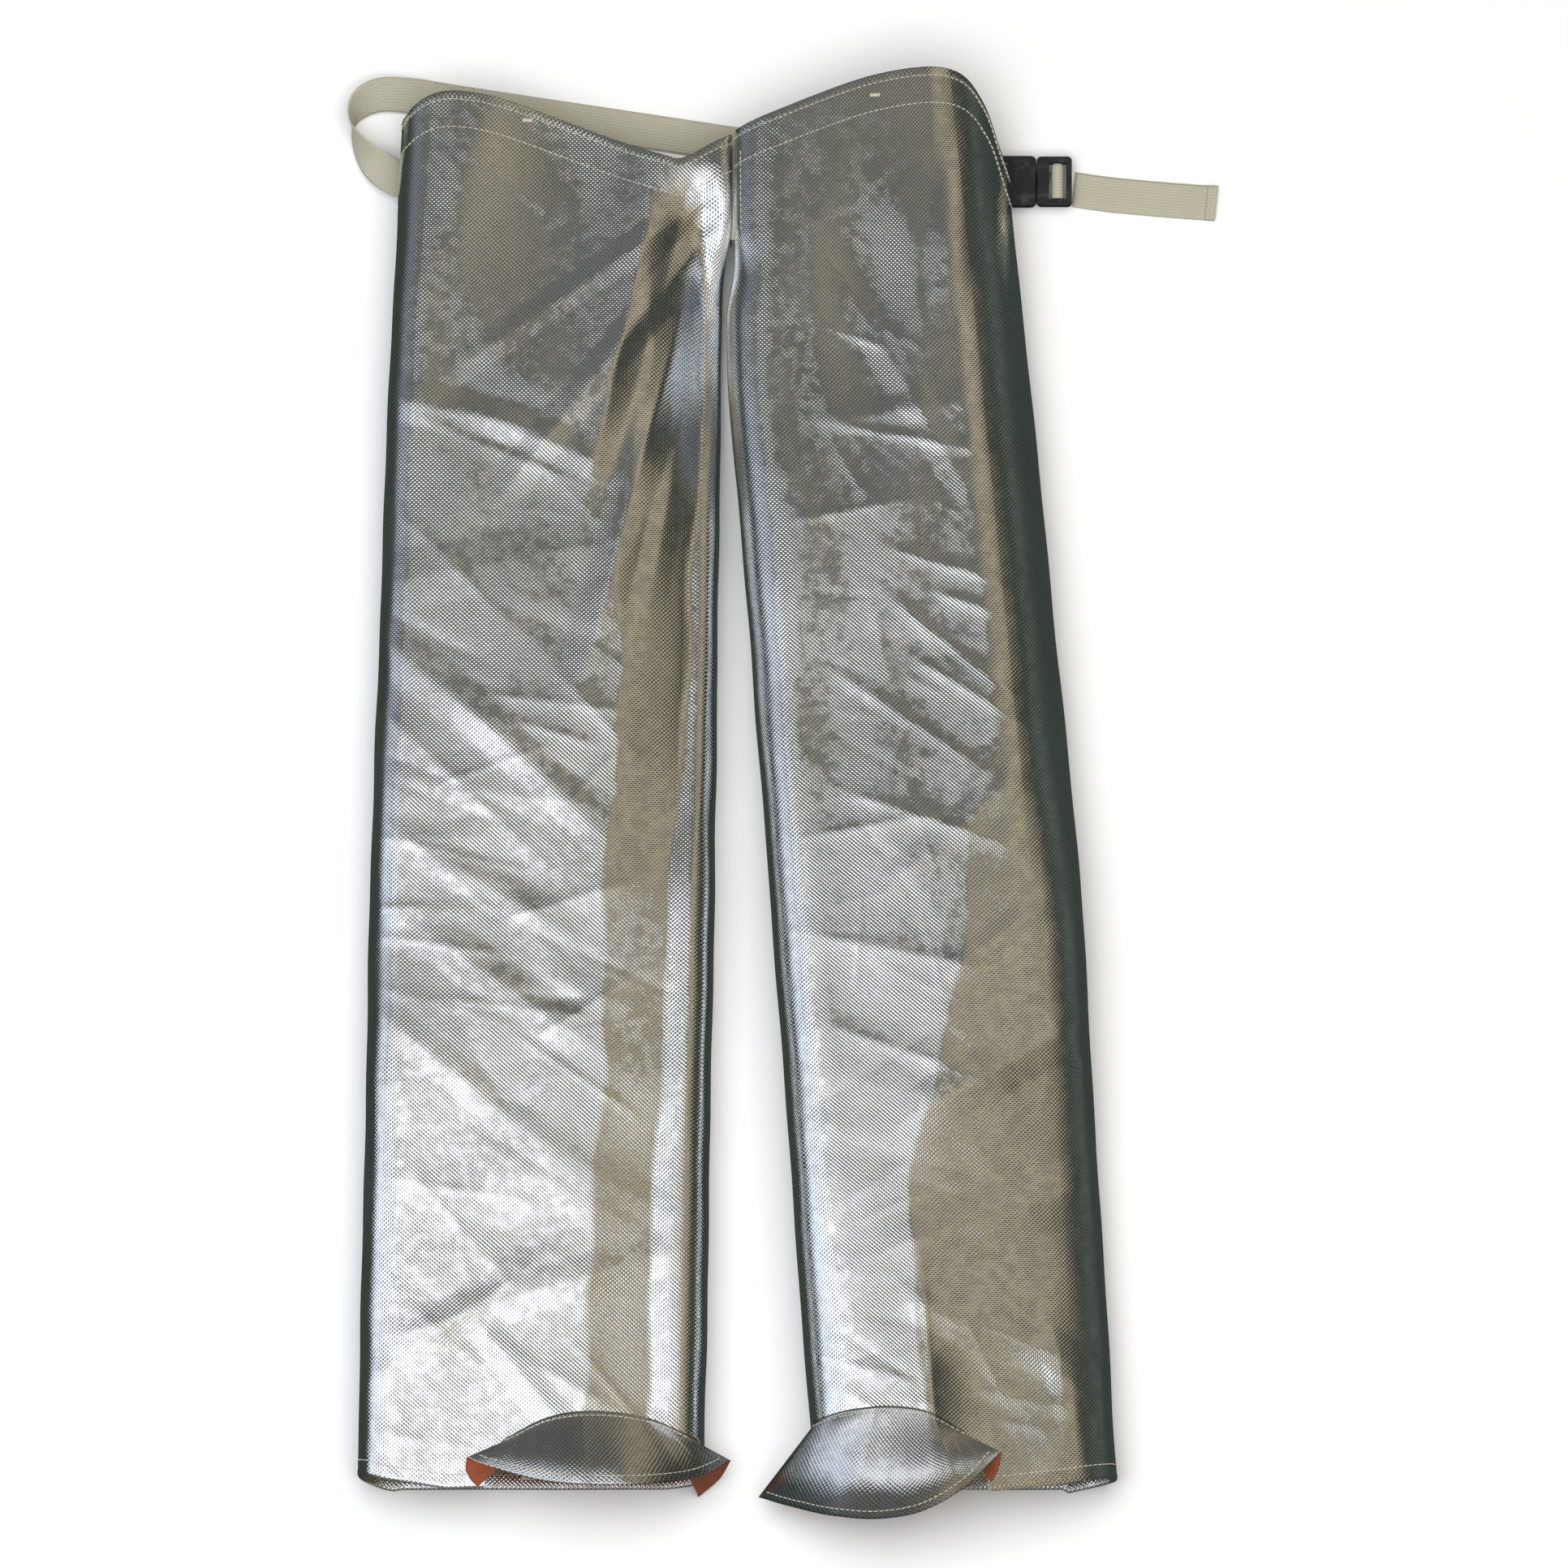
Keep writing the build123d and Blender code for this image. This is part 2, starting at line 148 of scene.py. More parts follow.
class Graph(NodeTree):
    """A material's node tree, with its shader."""

    def __init__(self, name, colour, roughness, metallic=0.0):
        self.material = bpy.data.materials.new(name)
        super().__init__(self.material)
        self.shader = self.nodes["Principled BSDF"]
        self.shader.inputs["Base Color"].default_value = (*colour, 1)
        self.shader.inputs["Roughness"].default_value = roughness
        self.shader.inputs["Metallic"].default_value = metallic

    def colour(self, value):
        self.put(self.shader.inputs["Base Color"], value)

    def rough(self, value):
        self.put(self.shader.inputs["Roughness"], value)

    def bump(self, height, distance):
        """Adds relief of a height in metres to the relief that is there."""
        node = self.nodes.new("ShaderNodeBump")
        node.inputs["Distance"].default_value = distance
        node.inputs["Strength"].default_value = 1.0
        self.put(node.inputs["Height"], height)
        old = self.shader.inputs["Normal"]
        if old.links:
            self.put(node.inputs["Normal"], old.links[0].from_socket)
        self.put(old, node.outputs[0])


def waves(graph, value, pitch):
    """Sine of a distance over a pitch, both in metres."""
    return graph.math("SINE", graph.math("MULTIPLY", value, 2 * math.pi / pitch))


def aluminised_cloth(name="aluminised_cloth", dull=0.0, left_after_painted_shade=1.0):
    """Metallised film bonded to a plain weave: a bright mirror film that shows the yarns below, with painted
    shade in the weave's hollows, and painted shade all over for a darker copy, whose last argument is below
    1.
    """
    graph = Graph(name, (0.80, 0.80, 0.785), 0.24 + dull, 1.0)
    across, along = graph.cloth()
    stray = graph.math("MULTIPLY", graph.noise(150, 2), 0.0007)
    across = graph.math("ADD", across, stray)
    along = graph.math("SUBTRACT", along, stray)
    weave = graph.math("MULTIPLY", waves(graph, across, 0.0032), waves(graph, along, 0.0029))
    weave = graph.math("MULTIPLY", weave, graph.spread(graph.noise(120, 3), 0.35, 0.65, 0.8, 1.25))
    dashes = graph.streaks(across, along, 160, 480)
    graph.bump(weave, 0.000070)
    graph.bump(dashes, 0.000025)
    graph.bump(graph.noise(95, 3, roughness=0.6), 0.00010)
    patches = graph.spread(graph.noise(9, 3), 0.35, 0.68, 0, 1)
    tint = graph.mix(patches, (0.88, 0.885, 0.87), (0.96, 0.965, 0.98))
    worn = graph.spread(dashes, 0.50, 0.72, 0, 0.35)
    # Painted shade: the weave's hollows are darkened towards dark grey.
    hollow = graph.spread(weave, -0.9, 0.2, 0.85, 0)
    tint = graph.mix(hollow, tint, (0.25, 0.255, 0.25))
    tint = graph.mix(worn, tint, (0.42, 0.42, 0.40))
    # Painted shade: below 1, the last argument darkens the whole film towards near black, which makes a
    # shaded copy.
    tint = graph.mix(1 - left_after_painted_shade, tint, (0.02, 0.02, 0.02))
    graph.colour(tint)
    graph.rough(graph.spread(graph.noise(26, 3), 0.3, 0.7, 0.10 + dull, 0.17 + dull))
    return graph.material


def woven(name, colour, dark, pitch):
    """Plain woven cloth without film, with painted shade in the weave's hollows."""
    graph = Graph(name, colour, 0.85)
    across, along = graph.cloth()
    weave = graph.math("MULTIPLY", waves(graph, across, pitch), waves(graph, along, pitch))
    graph.bump(weave, 0.00012)
    # Painted shade: the weave's hollows are darkened towards the dark colour; the spots are uneven tone.
    share = graph.spread(weave, -1.0, 0.6, 1, 0)
    spots = graph.spread(graph.noise(60, 4), 0.35, 0.7, 0, 0.5)
    graph.colour(graph.mix(spots, graph.mix(share, colour, dark), dark))
    return graph.material


def webbing_material():
    """Cream cotton webbing with ribs along its length and finer yarns across, with painted shade in the
    hollows between them.
    """
    graph = Graph("belt_webbing", (0.74, 0.70, 0.58), 0.88)
    across, along = graph.cloth()
    ribs = waves(graph, across, 0.0021)
    yarns = waves(graph, along, 0.0016)
    height = graph.math("ADD", ribs, graph.math("MULTIPLY", yarns, 0.6))
    graph.bump(height, 0.00012)
    graph.bump(graph.noise(900, 2), 0.00008)
    # Painted shade: the hollows between ribs and yarns are darkened; the soil is dirt.
    share = graph.spread(height, -1.6, 0.9, 0.75, 0)
    soil = graph.spread(graph.noise(22, 4), 0.4, 0.75, 0, 0.5)
    base = graph.mix(share, (0.47, 0.45, 0.355), (0.33, 0.315, 0.24))
    graph.colour(graph.mix(soil, base, (0.40, 0.375, 0.28)))
    return graph.material


def thread_material():
    """Cream cotton thread."""
    graph = Graph("sewing_thread", (0.80, 0.77, 0.62), 0.6)
    spots = graph.spread(graph.noise(700, 2), 0.35, 0.65, 0, 1)
    graph.colour(graph.mix(spots, (0.66, 0.64, 0.53), (0.48, 0.46, 0.36)))
    graph.bump(graph.noise(2200, 1), 0.0001)
    return graph.material


def buckle_material():
    """Black acetal with a satin moulded surface."""
    graph = Graph("buckle_plastic", (0.018, 0.018, 0.020), 0.36)
    graph.bump(graph.noise(2600, 3), 0.00004)
    graph.bump(graph.noise(160, 2), 0.00010)
    scuffs = graph.spread(graph.noise(85, 4, roughness=0.7), 0.5, 0.72, 0, 1)
    graph.colour(graph.mix(scuffs, (0.014, 0.014, 0.016), (0.040, 0.040, 0.042)))
    graph.rough(graph.spread(scuffs, 0, 1, 0.30, 0.48))
    return graph.material


ALUMINISED = aluminised_cloth()
# Copy of the film, rougher and with painted shade all over, for the flares and their tips.
FLARE_ALUMINISED_PAINTED_SHADE = aluminised_cloth("aluminised_cloth_flare_painted_shade", 0.06, 0.68)
CLOTH_BACK = woven("cloth_back", (0.66, 0.64, 0.48), (0.45, 0.43, 0.31), 0.0032)
LINING = woven("flare_lining", (0.30, 0.075, 0.030), (0.17, 0.038, 0.016), 0.0022)
WEBBING = webbing_material()
THREAD = thread_material()
PLASTIC = buckle_material()


# ---------------------------------------------------------------- mesh helpers


def to_frame(points):
    return np.asarray(points, float) * MM + SHIFT


def make_piece(name, points, faces, materials, kinds=None, uvs=None, normals=None):
    """Smooth mesh piece from points in millimetres, with cloth distances as its UVs."""
    mesh = bpy.data.meshes.new(name)
    mesh.from_pydata(to_frame(points).tolist(), [], [list(f) for f in faces])
    for material in materials:
        mesh.materials.append(material)
    if kinds is not None:
        mesh.polygons.foreach_set("material_index", np.asarray(kinds, np.int32))
    mesh.polygons.foreach_set("use_smooth", [True] * len(mesh.polygons))
    layer = mesh.uv_layers.new(name="cloth")
    if uvs is not None:
        layer.data.foreach_set("uv", (np.asarray(uvs, np.float32) * MM).ravel())
    mesh.update()
    if normals is not None:
        mesh.normals_split_custom_set_from_vertices(normals.tolist())
    piece = bpy.data.objects.new(name, mesh)
    bpy.context.scene.collection.objects.link(piece)
    return piece


def point_normals(points, faces):
    """Smooth normals at the points of a mesh of quads."""
    faces = np.asarray(faces)
    diagonal_a = points[faces[:, 2]] - points[faces[:, 0]]
    diagonal_b = points[faces[:, 3]] - points[faces[:, 1]]
    flat = np.cross(diagonal_a, diagonal_b)
    total = np.zeros_like(points)
    for corner in range(4):
        np.add.at(total, faces[:, corner], flat)
    return total / np.maximum(np.linalg.norm(total, axis=1, keepdims=True), 1e-9)


def boundary(faces):
    """Directed edges that only one face uses."""
    faces = np.asarray(faces)
    edges = np.concatenate([faces[:, [k, (k + 1) % 4]] for k in range(4)])
    keys = np.sort(edges, axis=1)
    base = keys.max() + 1
    codes = keys[:, 0] * base + keys[:, 1]
    _, first, count = np.unique(codes, return_index=True, return_counts=True)
    return edges[first[count == 1]]


def shell(points, normals, faces, uvs, thickness):
    """Closes a sheet with an inner layer and rims. Kinds are 0 outside, 1 inside and rim."""
    faces = np.asarray(faces)
    number = len(points)
    inner = points - normals * thickness
    back = faces[:, ::-1] + number
    edges = boundary(faces)
    rims = np.stack([edges[:, 1], edges[:, 0], edges[:, 0] + number, edges[:, 1] + number], axis=1)
    all_faces = np.concatenate([faces, back, rims])
    kinds = np.concatenate([np.zeros(len(faces), int), np.ones(len(back) + len(rims), int)])
    all_uvs = np.concatenate([uvs, uvs[:, ::-1], np.zeros((len(rims), 4, 2))])
    both = np.concatenate([normals, -normals])
    return np.concatenate([points, inner]), all_faces, kinds, all_uvs, both


def shell_piece(name, points, normals, faces, uvs, thickness, materials):
    """Piece of cloth: a sheet closed by shell(), with one material outside and one inside."""
    points, faces, kinds, uvs, normals = shell(points, normals, faces, uvs, thickness)
    return make_piece(name, points, faces, materials, kinds, uvs, normals)


def drop_unused(points, faces, normals):
    """Keeps only the points that faces use."""
    used, faces = np.unique(faces, return_inverse=True)
    return points[used], faces.reshape(-1, 4), normals[used]


def grid_quads(rows, columns, closed):
    """Quads over a grid of points numbered row by row."""
    last = columns if closed else columns - 1
    j, i = np.meshgrid(np.arange(rows - 1), np.arange(last), indexing="ij")
    next_i = (i + 1) % columns
    quads = np.stack([j * columns + i, j * columns + next_i, (j + 1) * columns + next_i,
                      (j + 1) * columns + i], axis=-1)
    return quads.reshape(-1, 4)


def sheet_grid(points):
    """Faces and cloth distances of an open grid of points (rows, columns, 3)."""
    rows, columns = points.shape[:2]
    step_u = np.linalg.norm(np.diff(points, axis=1), axis=2).mean(0)
    step_v = np.linalg.norm(np.diff(points, axis=0), axis=2).mean(1)
    u = np.concatenate([[0], np.cumsum(step_u)])
    v = np.concatenate([[0], np.cumsum(step_v)])
    flat_uv = np.stack(np.meshgrid(u, v), axis=-1).reshape(-1, 2)
    faces = grid_quads(rows, columns, False)
    return faces, flat_uv[faces]


def smooth_step(value, low, high):
    """0 up to low, 1 from high on, and a soft rise between them."""
    share = np.clip((value - low) / (high - low), 0, 1)
    return share * share * (3 - 2 * share)


def table(pairs, spread=24.0):
    """Smooth function through straight runs between (y, value) pairs."""
    ys, values = np.array(sorted(pairs), float).T
    fine = np.arange(ys[0] - 60, ys[-1] + 60, 2.0)
    raw = np.interp(fine, ys, values)
    kernel = np.hanning(int(spread / 2) * 2 + 3)
    kernel /= kernel.sum()
    pad = len(kernel) // 2
    soft = np.convolve(np.pad(raw, pad, mode="reflect", reflect_type="odd"), kernel, mode="valid")
    return lambda y: np.interp(y, fine, soft)


def smooth_line(points, step):
    """Catmull-Rom curve through points, resampled at even steps."""
    points = np.asarray(points, float)
    padded = np.vstack([2 * points[0] - points[1], points, 2 * points[-1] - points[-2]])
    pieces = []
    for p0, p1, p2, p3 in zip(padded, padded[1:], padded[2:], padded[3:]):
        t = np.linspace(0, 1, 40, endpoint=False)[:, None]
        pieces.append(0.5 * (2 * p1 + (p2 - p0) * t + (2 * p0 - 5 * p1 + 4 * p2 - p3) * t ** 2
                             + (3 * p1 - p0 - 3 * p2 + p3) * t ** 3))
    curve = np.vstack([*pieces, points[-1:]])
    lengths = np.concatenate([[0], np.cumsum(np.linalg.norm(np.diff(curve[:, :3], axis=0), axis=1))])
    count = max(2, int(round(lengths[-1] / step)) + 1)
    even = np.linspace(0, lengths[-1], count)
    return np.stack([np.interp(even, lengths, curve[:, k]) for k in range(curve.shape[1])], axis=1)


def picked(points, step, count):
    """The given number of places on a smooth line."""
    line = smooth_line(points, step)
    return line[np.linspace(0, len(line) - 1, count).astype(int)]


# ---------------------------------------------------------------- legs


WALL = 0.9                   # film, cloth and backing, in millimetres
RISE_LOW_Y = 394.0
SPLIT_Y = 120.0              # the upper and lower piece of a leg meet here, with one shading
HIP_Y = 300.0
SHIN_END_Y = -440.0          # rows of the grid run straight across between here and the hip
NEAR_HEM_Y = -500.0
HEM_BACK_Y = -504.0
PANEL_SIDE_Z = 15.0          # the front panel wraps round the side to this height
FOLD_SIZE = 0.85             # all folds together
SQUARENESS = 2.6             # 2 makes the tube's sides half round, more makes them squarer


class Leg:
    """Outside surface of one leg: a flattened tube with creases, dents and folds."""

    def __init__(self, side, height, left, right, waist, bottom, mouth):
        self.side = side
        self.height = height
        self.radius = height / 2
        self.left = table(left)
        self.right = table(right)
        self.waist = smooth_line(waist, 3.0)
        self.bottom = np.array(bottom, float)
        self.mouth = mouth
        self.inner_is_right = side == "left"
        self.creases = []
        self.dents = []
        self.ramps = []
        count = 46
        angle = rng.uniform(0, math.pi, count)
        length = rng.uniform(45, 210, count)
        self.noise_x = np.cos(angle) * 2 * math.pi / length
        self.noise_y = np.sin(angle) * 2 * math.pi / length * 0.7
        self.noise_size = 0.0009 * length
        self.noise_start = rng.uniform(0, 2 * math.pi, count)

    def waist_y(self, x):
        return np.interp(x, self.waist[:, 0], self.waist[:, 1])

    def bottom_y(self, x):
        return np.interp(x, self.bottom[:, 0], self.bottom[:, 1])

    def section(self, q, y):
        """Point and outward direction at q round the tube: 0-1 front, 1-2 right, 2-3 back, 3-4 left."""
        low, high, radius = self.left(y), self.right(y), self.radius
        flat = high - low - 2 * radius
        turn = np.where(q >= 3, q - 3, q - 1) * math.pi
        sine, cosine = np.abs(np.sin(turn)), np.cos(turn)
        reach = radius * sine ** (2 / SQUARENESS)
        rise = radius * np.sign(cosine) * np.abs(cosine) ** (2 / SQUARENESS)
        lean = sine ** (2 - 2 / SQUARENESS)
        stand = np.sign(cosine) * np.abs(cosine) ** (2 - 2 / SQUARENESS)
        size = np.hypot(lean, stand)
        lean, stand = lean / size, stand / size
        zones = [q < 1, q < 2, q < 3]
        front_x, back_x = low + radius + q * flat, high - radius - (q - 2) * flat
        x = np.select(zones, [front_x, high - radius + reach, back_x], low + radius - reach)
        none, one = np.zeros_like(x), np.ones_like(x)
        z = np.select(zones, [np.full_like(x, self.height), radius + rise, none], radius - rise)
        out_x = np.select(zones, [none, lean, none], -lean)
        out_z = np.select(zones, [one, stand, -one], -stand)
        return x, z, out_x, out_z

    def point(self, q, y, depth=0.0):
        """Place in millimetres of a point of the cloth, or of one that lies deeper inside."""
        q, y = np.broadcast_arrays(np.asarray(q, float), np.asarray(y, float))
        x, z, out_x, out_z = self.section(q, y)
        if self.inner_is_right:
            inner = smooth_step(x, self.right(y) - self.radius - 8, self.right(y) - self.radius + 6)
        else:
            inner = 1 - smooth_step(x, self.left(y) + self.radius - 6, self.left(y) + self.radius + 8)
        valley = smooth_step(y, 352, 398) * inner
        shallow = self.height - (self.height - z) * (0.12 if self.inner_is_right else 0.38)
        z = np.where(z > PANEL_SIDE_Z, z * (1 - valley) + shallow * valley, z)
        drop = sum((ramp(x, y) for ramp in self.ramps), np.zeros_like(x))
        z = z * (1 + drop / self.height)
        lift = self.lift(x, y)
        front = smooth_step(out_z, 0.05, 0.75)
        side = 1 - smooth_step(np.abs(out_z), 0.3, 0.95)
        ripple = 0.30 * np.sin(y / 31 + 1.3 * np.sin(y / 83)) + 0.2 * np.sin(y / 13.5 + x / 9)
        away = lift * front + ripple * side * smooth_step(z, 2, 14) - depth
        under = smooth_step(-out_z, 0.4, 0.9)
        rest = np.where(under > 0, (0.7 + 0.7 * np.sin(x / 17 + y / 29) * np.sin(y / 47)) * under, 0)
        return np.stack([x + out_x * away, y, np.maximum(z + out_z * away + rest, 0.05)], axis=-1)

    def lift(self, x, y):
        """How far creases, folds and dents move the front of the leg."""
        total = np.zeros_like(x)
        for kx, ky, size, start in zip(self.noise_x, self.noise_y, self.noise_size, self.noise_start):
            total = total + size * np.sin(kx * x + ky * y + start)
        for x0, y0, x1, y1, size, width, sharp in self.creases:
            size = size * FOLD_SIZE
            run = np.array([x1 - x0, y1 - y0])
            length = np.hypot(*run)
            run = run / length
            along = (x - x0) * run[0] + (y - y0) * run[1]
            off = (x - x0) * -run[1] + (y - y0) * run[0]
            beyond = np.maximum(0, np.abs(along - length / 2) - length / 2)
            end = np.exp(-(beyond / (0.25 * length + width)) ** 2)
            shape = np.exp(-np.abs(off) / width) if sharp else np.maximum(0, 1 - np.abs(off) / width)
            total = total + size * shape * end
        for x0, y0, rx, ry, turn, size in self.dents:
            c, s = math.cos(math.radians(turn)), math.sin(math.radians(turn))
            dx, dy = x - x0, y - y0
            far = np.hypot((dx * c + dy * s) / rx, (dy * c - dx * s) / ry)
            total = total - size * np.maximum(0, 1 - far ** 2) ** 1.6
        return total

    def front_q(self, x, y):
        """Where the front of the tube has this x, measured round the tube."""
        low, high, radius = self.left(y), self.right(y), self.radius
        flat = high - low - 2 * radius
        q = (x - low - radius) / flat
        power = SQUARENESS / 2
        left_turn = 4 - np.arcsin(np.clip((low + radius - x) / radius, 0, 1) ** power) / math.pi
        right_turn = 1 + np.arcsin(np.clip((x - high + radius) / radius, 0, 1) ** power) / math.pi
        return np.where(q < 0, left_turn, np.where(q > 1, right_turn, q))

    def over(self, x, y, depth=0.0):
        """Point of the front at a plan place."""
        return self.point(self.front_q(x, y), y, depth)

    def top_edge(self, q):
        """Upper edge of the cloth for each place round the tube: the waist in front, the seat behind."""
        y = np.full_like(q, 440.0)
        for _ in range(6):
            x, z, _, _ = self.section(q, y)
            y = self.waist_y(np.minimum(x, RISE_X) if self.inner_is_right else np.maximum(x, RISE_X))
        x_back = self.section(q, np.full_like(q, 340.0))[0]
        x_outer = self.left(340.0) if self.inner_is_right else self.right(340.0)
        x_inner = self.right(340.0) if self.inner_is_right else self.left(340.0)
        seat = 318 + 54 * np.clip((x_back - x_inner) / (x_outer - x_inner), 0, 1)
        share = smooth_step(z, PANEL_SIDE_Z - 9, PANEL_SIDE_Z + 1)
        return seat + (y - seat) * share


def crumples(leg, number, x_range, y_range, lean, size, width, length):
    """Random folds of the stiff film inside one zone of the leg."""
    for _ in range(number):
        x = rng.uniform(*x_range)
        y = rng.uniform(*y_range)
        turn = math.radians(rng.normal(lean, 28))
        half = rng.uniform(*length) / 2
        sharp = rng.random() < 0.62
        leg.creases.append((x - half * math.cos(turn), y - half * math.sin(turn),
                            x + half * math.cos(turn), y + half * math.sin(turn),
                            rng.uniform(*size) * rng.choice((-0.6, 1.0)),
                            rng.uniform(*width) * (0.42 if sharp else 2.0), sharp))


left_leg = Leg(
    "left", 52.0,
    [(-520, -304.3), (-505, -304), (-60, -295.5), (294, -283), (440, -276), (535, -271)],
    [(-520, -57.3), (-505, -57), (-60, -49.2), (290, -45.4), (345, -44.6), (374, -43.0),
     (396, -37.6), (535, -37.2)],
    [(-290, 460), (-280, 474), (-268, 489), (-250, 499.5), (-230, 501), (-200, 495), (-160, 481), (-110, 462),
     (-84, 454), (-76, 451.8), (-67, 454.5), (-50, 464), (-36.3, 470)],
    [(-306, -497), (-285, -504), (-240, -511), (-180, -509), (-120, -508), (-50, -500)],
    [(-213, -489), (-199, -476), (-168, -461.5), (-134, -456.5), (-98, -461), (-60, -474)])
right_leg = Leg(
    "right", 70.0,
    [(-520, 22.4), (-505, 21.5), (-60, -11.6), (210, -33.0), (290, -40.6), (345, -41.6),
     (374, -35.6), (396, -35.4), (535, -35.3)],
    [(-520, 238.4), (-505, 237.5), (-60, 211.4), (294, 176.2), (440, 161.5), (535, 152)],
    [(-36.3, 470), (-9, 482), (64, 509), (118, 514.5), (143, 494), (157, 456), (172, 420)],
    [(10, -500), (100, -512), (150, -514), (200, -507), (245, -498)],
    [(145, -487), (128, -473), (103, -460), (76, -456), (47, -458.5), (19, -466)])

# Left leg: the long crease right of the middle, with a sloping facet and a flat shoulder
left_crease_x = table([(-520, -150), (-458, -148), (-376, -138), (-317, -134), (-140, -129), (36, -121),
                       (213, -113), (330, -96), (535, -80)], 60)
left_facet_end = table([(-520, -100), (-435, -97), (-317, -93), (-140, -84), (36, -72), (213, -62),
                        (330, -60), (535, -58)], 60)


def above(value, soft=5.0):
    """Zero below nothing and the value itself above it, with a soft bend between."""
    return 0.5 * (value + np.sqrt(value * value + soft * soft)) - 0.5 * soft * np.exp(-np.abs(value) / soft)


def left_ramp(x, y):
    """How far the left leg's front lies below its flat height."""
    wander = 3.0 * np.sin(y / 38 + 0.4) + 2.0 * np.sin(y / 17 + 2)
    start, end = left_crease_x(y) + wander, left_facet_end(y) + 0.5 * wander
    fade = 1 - smooth_step(y, 330, 440)
    down = above(x - start) - above(x - end)
    steeper = smooth_step(y, -120, 120) * 0.14 * down ** 2 / (end - start)
    back_up = above(x - end, 3.0) - above(x - end - 15, 3.0)
    crotch = smooth_step(y, 190, 300) * (1 - smooth_step(y, 402, 452))
    lean = 0.22 * np.clip(390 - y, -20, 200)
    roll = above(x + 101 + lean, 4.5) - above(x + 58, 5.0)
    rise = (above(x + 56, 5.0) - above(x + 36, 4.0)) * smooth_step(y, 320, 370)
    return (-0.15 * down - steeper + 0.13 * back_up) * fade + (0.42 * rise - 0.34 * roll) * crotch


left_leg.ramps.append(left_ramp)

# Right leg: the flat front breaks at a crease and slopes away towards the outer edge
right_crease_x = table([(-520, 97), (-430, 96), (-317, 92), (-230, 98), (-140, 126), (36, 148), (213, 134),
                        (400, 118), (535, 100)], 60)


def right_ramp(x, y):
    """How far the right leg's front lies below its flat height."""
    start = right_crease_x(y) + 3.5 * np.sin(y / 41) + 2.5 * np.sin(y / 19 + 1)
    low_down = smooth_step(-y, -60, 190)
    slope = 0.035 + 0.095 * low_down
    edge = np.clip(x - right_leg.right(y) + 52, 0, 60)
    steeper = smooth_step(y, -120, 60) * 0.0085 * edge ** 2
    down = above(x - start, 7.0)
    rolled = 0.0007 * low_down * down ** 2
    return -slope * down - rolled - steeper


right_leg.ramps.append(right_ramp)

# Dents: x, y, half sizes, turn, depth
left_leg.dents += [
    (-160, 408, 76, 126, -4, 6.5),
    (-218, 300, 52, 95, 10, 1.6),
    (-200, -330, 60, 46, 20, 1.4),
    (-110, 250, 26, 120, -12, 1.6),
]
right_leg.dents += [
    (152, -452, 52, 62, 12, 4.2),
    (60, 330, 40, 130, 4, 2.4),
    (36, 90, 34, 160, -3, 1.8),
    (122, 400, 22, 80, -8, -1.6),
]

# Folds that the wearer's stance has left: from, to, height, width, sharp
left_leg.creases += [
    (-262, 274, -205, 262, 1.5, 16, False), (-205, 262, -150, 238, 1.6, 15, False),
    (-234, 252, -170, 226, 1.0, 7, True), (-58, 402, -124, 150, 2.6, 17, False),
    (-50, 404, -160, 262, 1.8, 14, False),
    (-50, 396, -84, 200, 1.2, 12, False), (-60, 420, -190, 330, 1.2, 12, False),
    (-52, 385, -92, 270, 1.2, 10, True), (-282, 98, -212, 40, 1.4, 20, False),
    (-212, 40, -150, -20, 1.1, 16, False), (-276, 40, -196, -36, 1.0, 9, True),
    (-190, 60, -128, 52, 0.9, 7, True), (-150, 66, -116, 30, 1.1, 10, True),
    (-240, -60, -180, -95, 1.2, 17, False), (-180, -95, -118, -76, 1.0, 9, True),
    (-226, -130, -160, -176, 1.3, 18, False), (-160, -176, -120, -150, 1.0, 8, True),
    (-262, -190, -200, -240, 1.0, 14, False), (-246, -392, -120, -352, 1.2, 16, False),
    (-290, -430, -210, -372, 1.2, 16, False), (-160, -432, -96, -470, 1.5, 12, True),
    (-208, -404, -168, -452, 1.2, 13, False), (-260, 180, -214, 132, 0.8, 8, True),
    (-250, 150, -150, 168, 0.7, 22, False),
]
right_leg.creases += [
    (60, 330, 112, 240, 1.0, 14, False), (63, 251, 131, 238, 1.2, 4, True),
    (39, 324, 62, 315, 0.9, 3.5, True), (96, 159, 147, 143, 1.1, 4, True),
    (126, 128, 178, 112, 1.0, 4, True), (99, 110, 153, 67, 1.0, 4.5, True),
    (27, 189, 81, 199, 0.8, 4, True), (57, 262, 117, 270, 1.1, 13, False),
    (112, 74, 168, 40, 1.0, 4.5, True), (60, 60, 120, 20, 0.8, 6, True),
    (70, -20, 148, -46, 1.2, 6, True), (40, -40, 96, -30, 1.0, 6, True),
    (98, -60, 150, -14, 1.0, 14, False), (46, -120, 128, -136, 1.3, 12, True),
    (128, -136, 168, -104, 1.0, 12, False), (60, -190, 130, -214, 1.0, 8, True),
    (120, -230, 186, -190, 2.4, 20, False), (56, -300, 100, -272, 0.8, 9, True),
    (110, -330, 196, -300, 2.6, 24, False), (126, -392, 196, -416, 2.4, 18, False),
    (100, -380, 108, -470, 1.6, 8, True), (196, -416, 212, -480, 1.4, 14, False),
]
crumples(left_leg, 46, (-285, -115), (-260, 110), -28, (0.25, 0.65), (5, 11), (24, 80))
crumples(left_leg, 22, (-290, -115), (-500, -260), -40, (0.2, 0.6), (6, 13), (30, 80))
crumples(left_leg, 16, (-270, -60), (110, 440), -35, (0.12, 0.35), (6, 12), (30, 80))
crumples(right_leg, 60, (45, 165), (-240, 340), -14, (0.13, 0.36), (4, 9), (18, 58))
crumples(right_leg, 26, (50, 220), (-500, -200), -20, (0.4, 0.95), (6, 13), (30, 80))
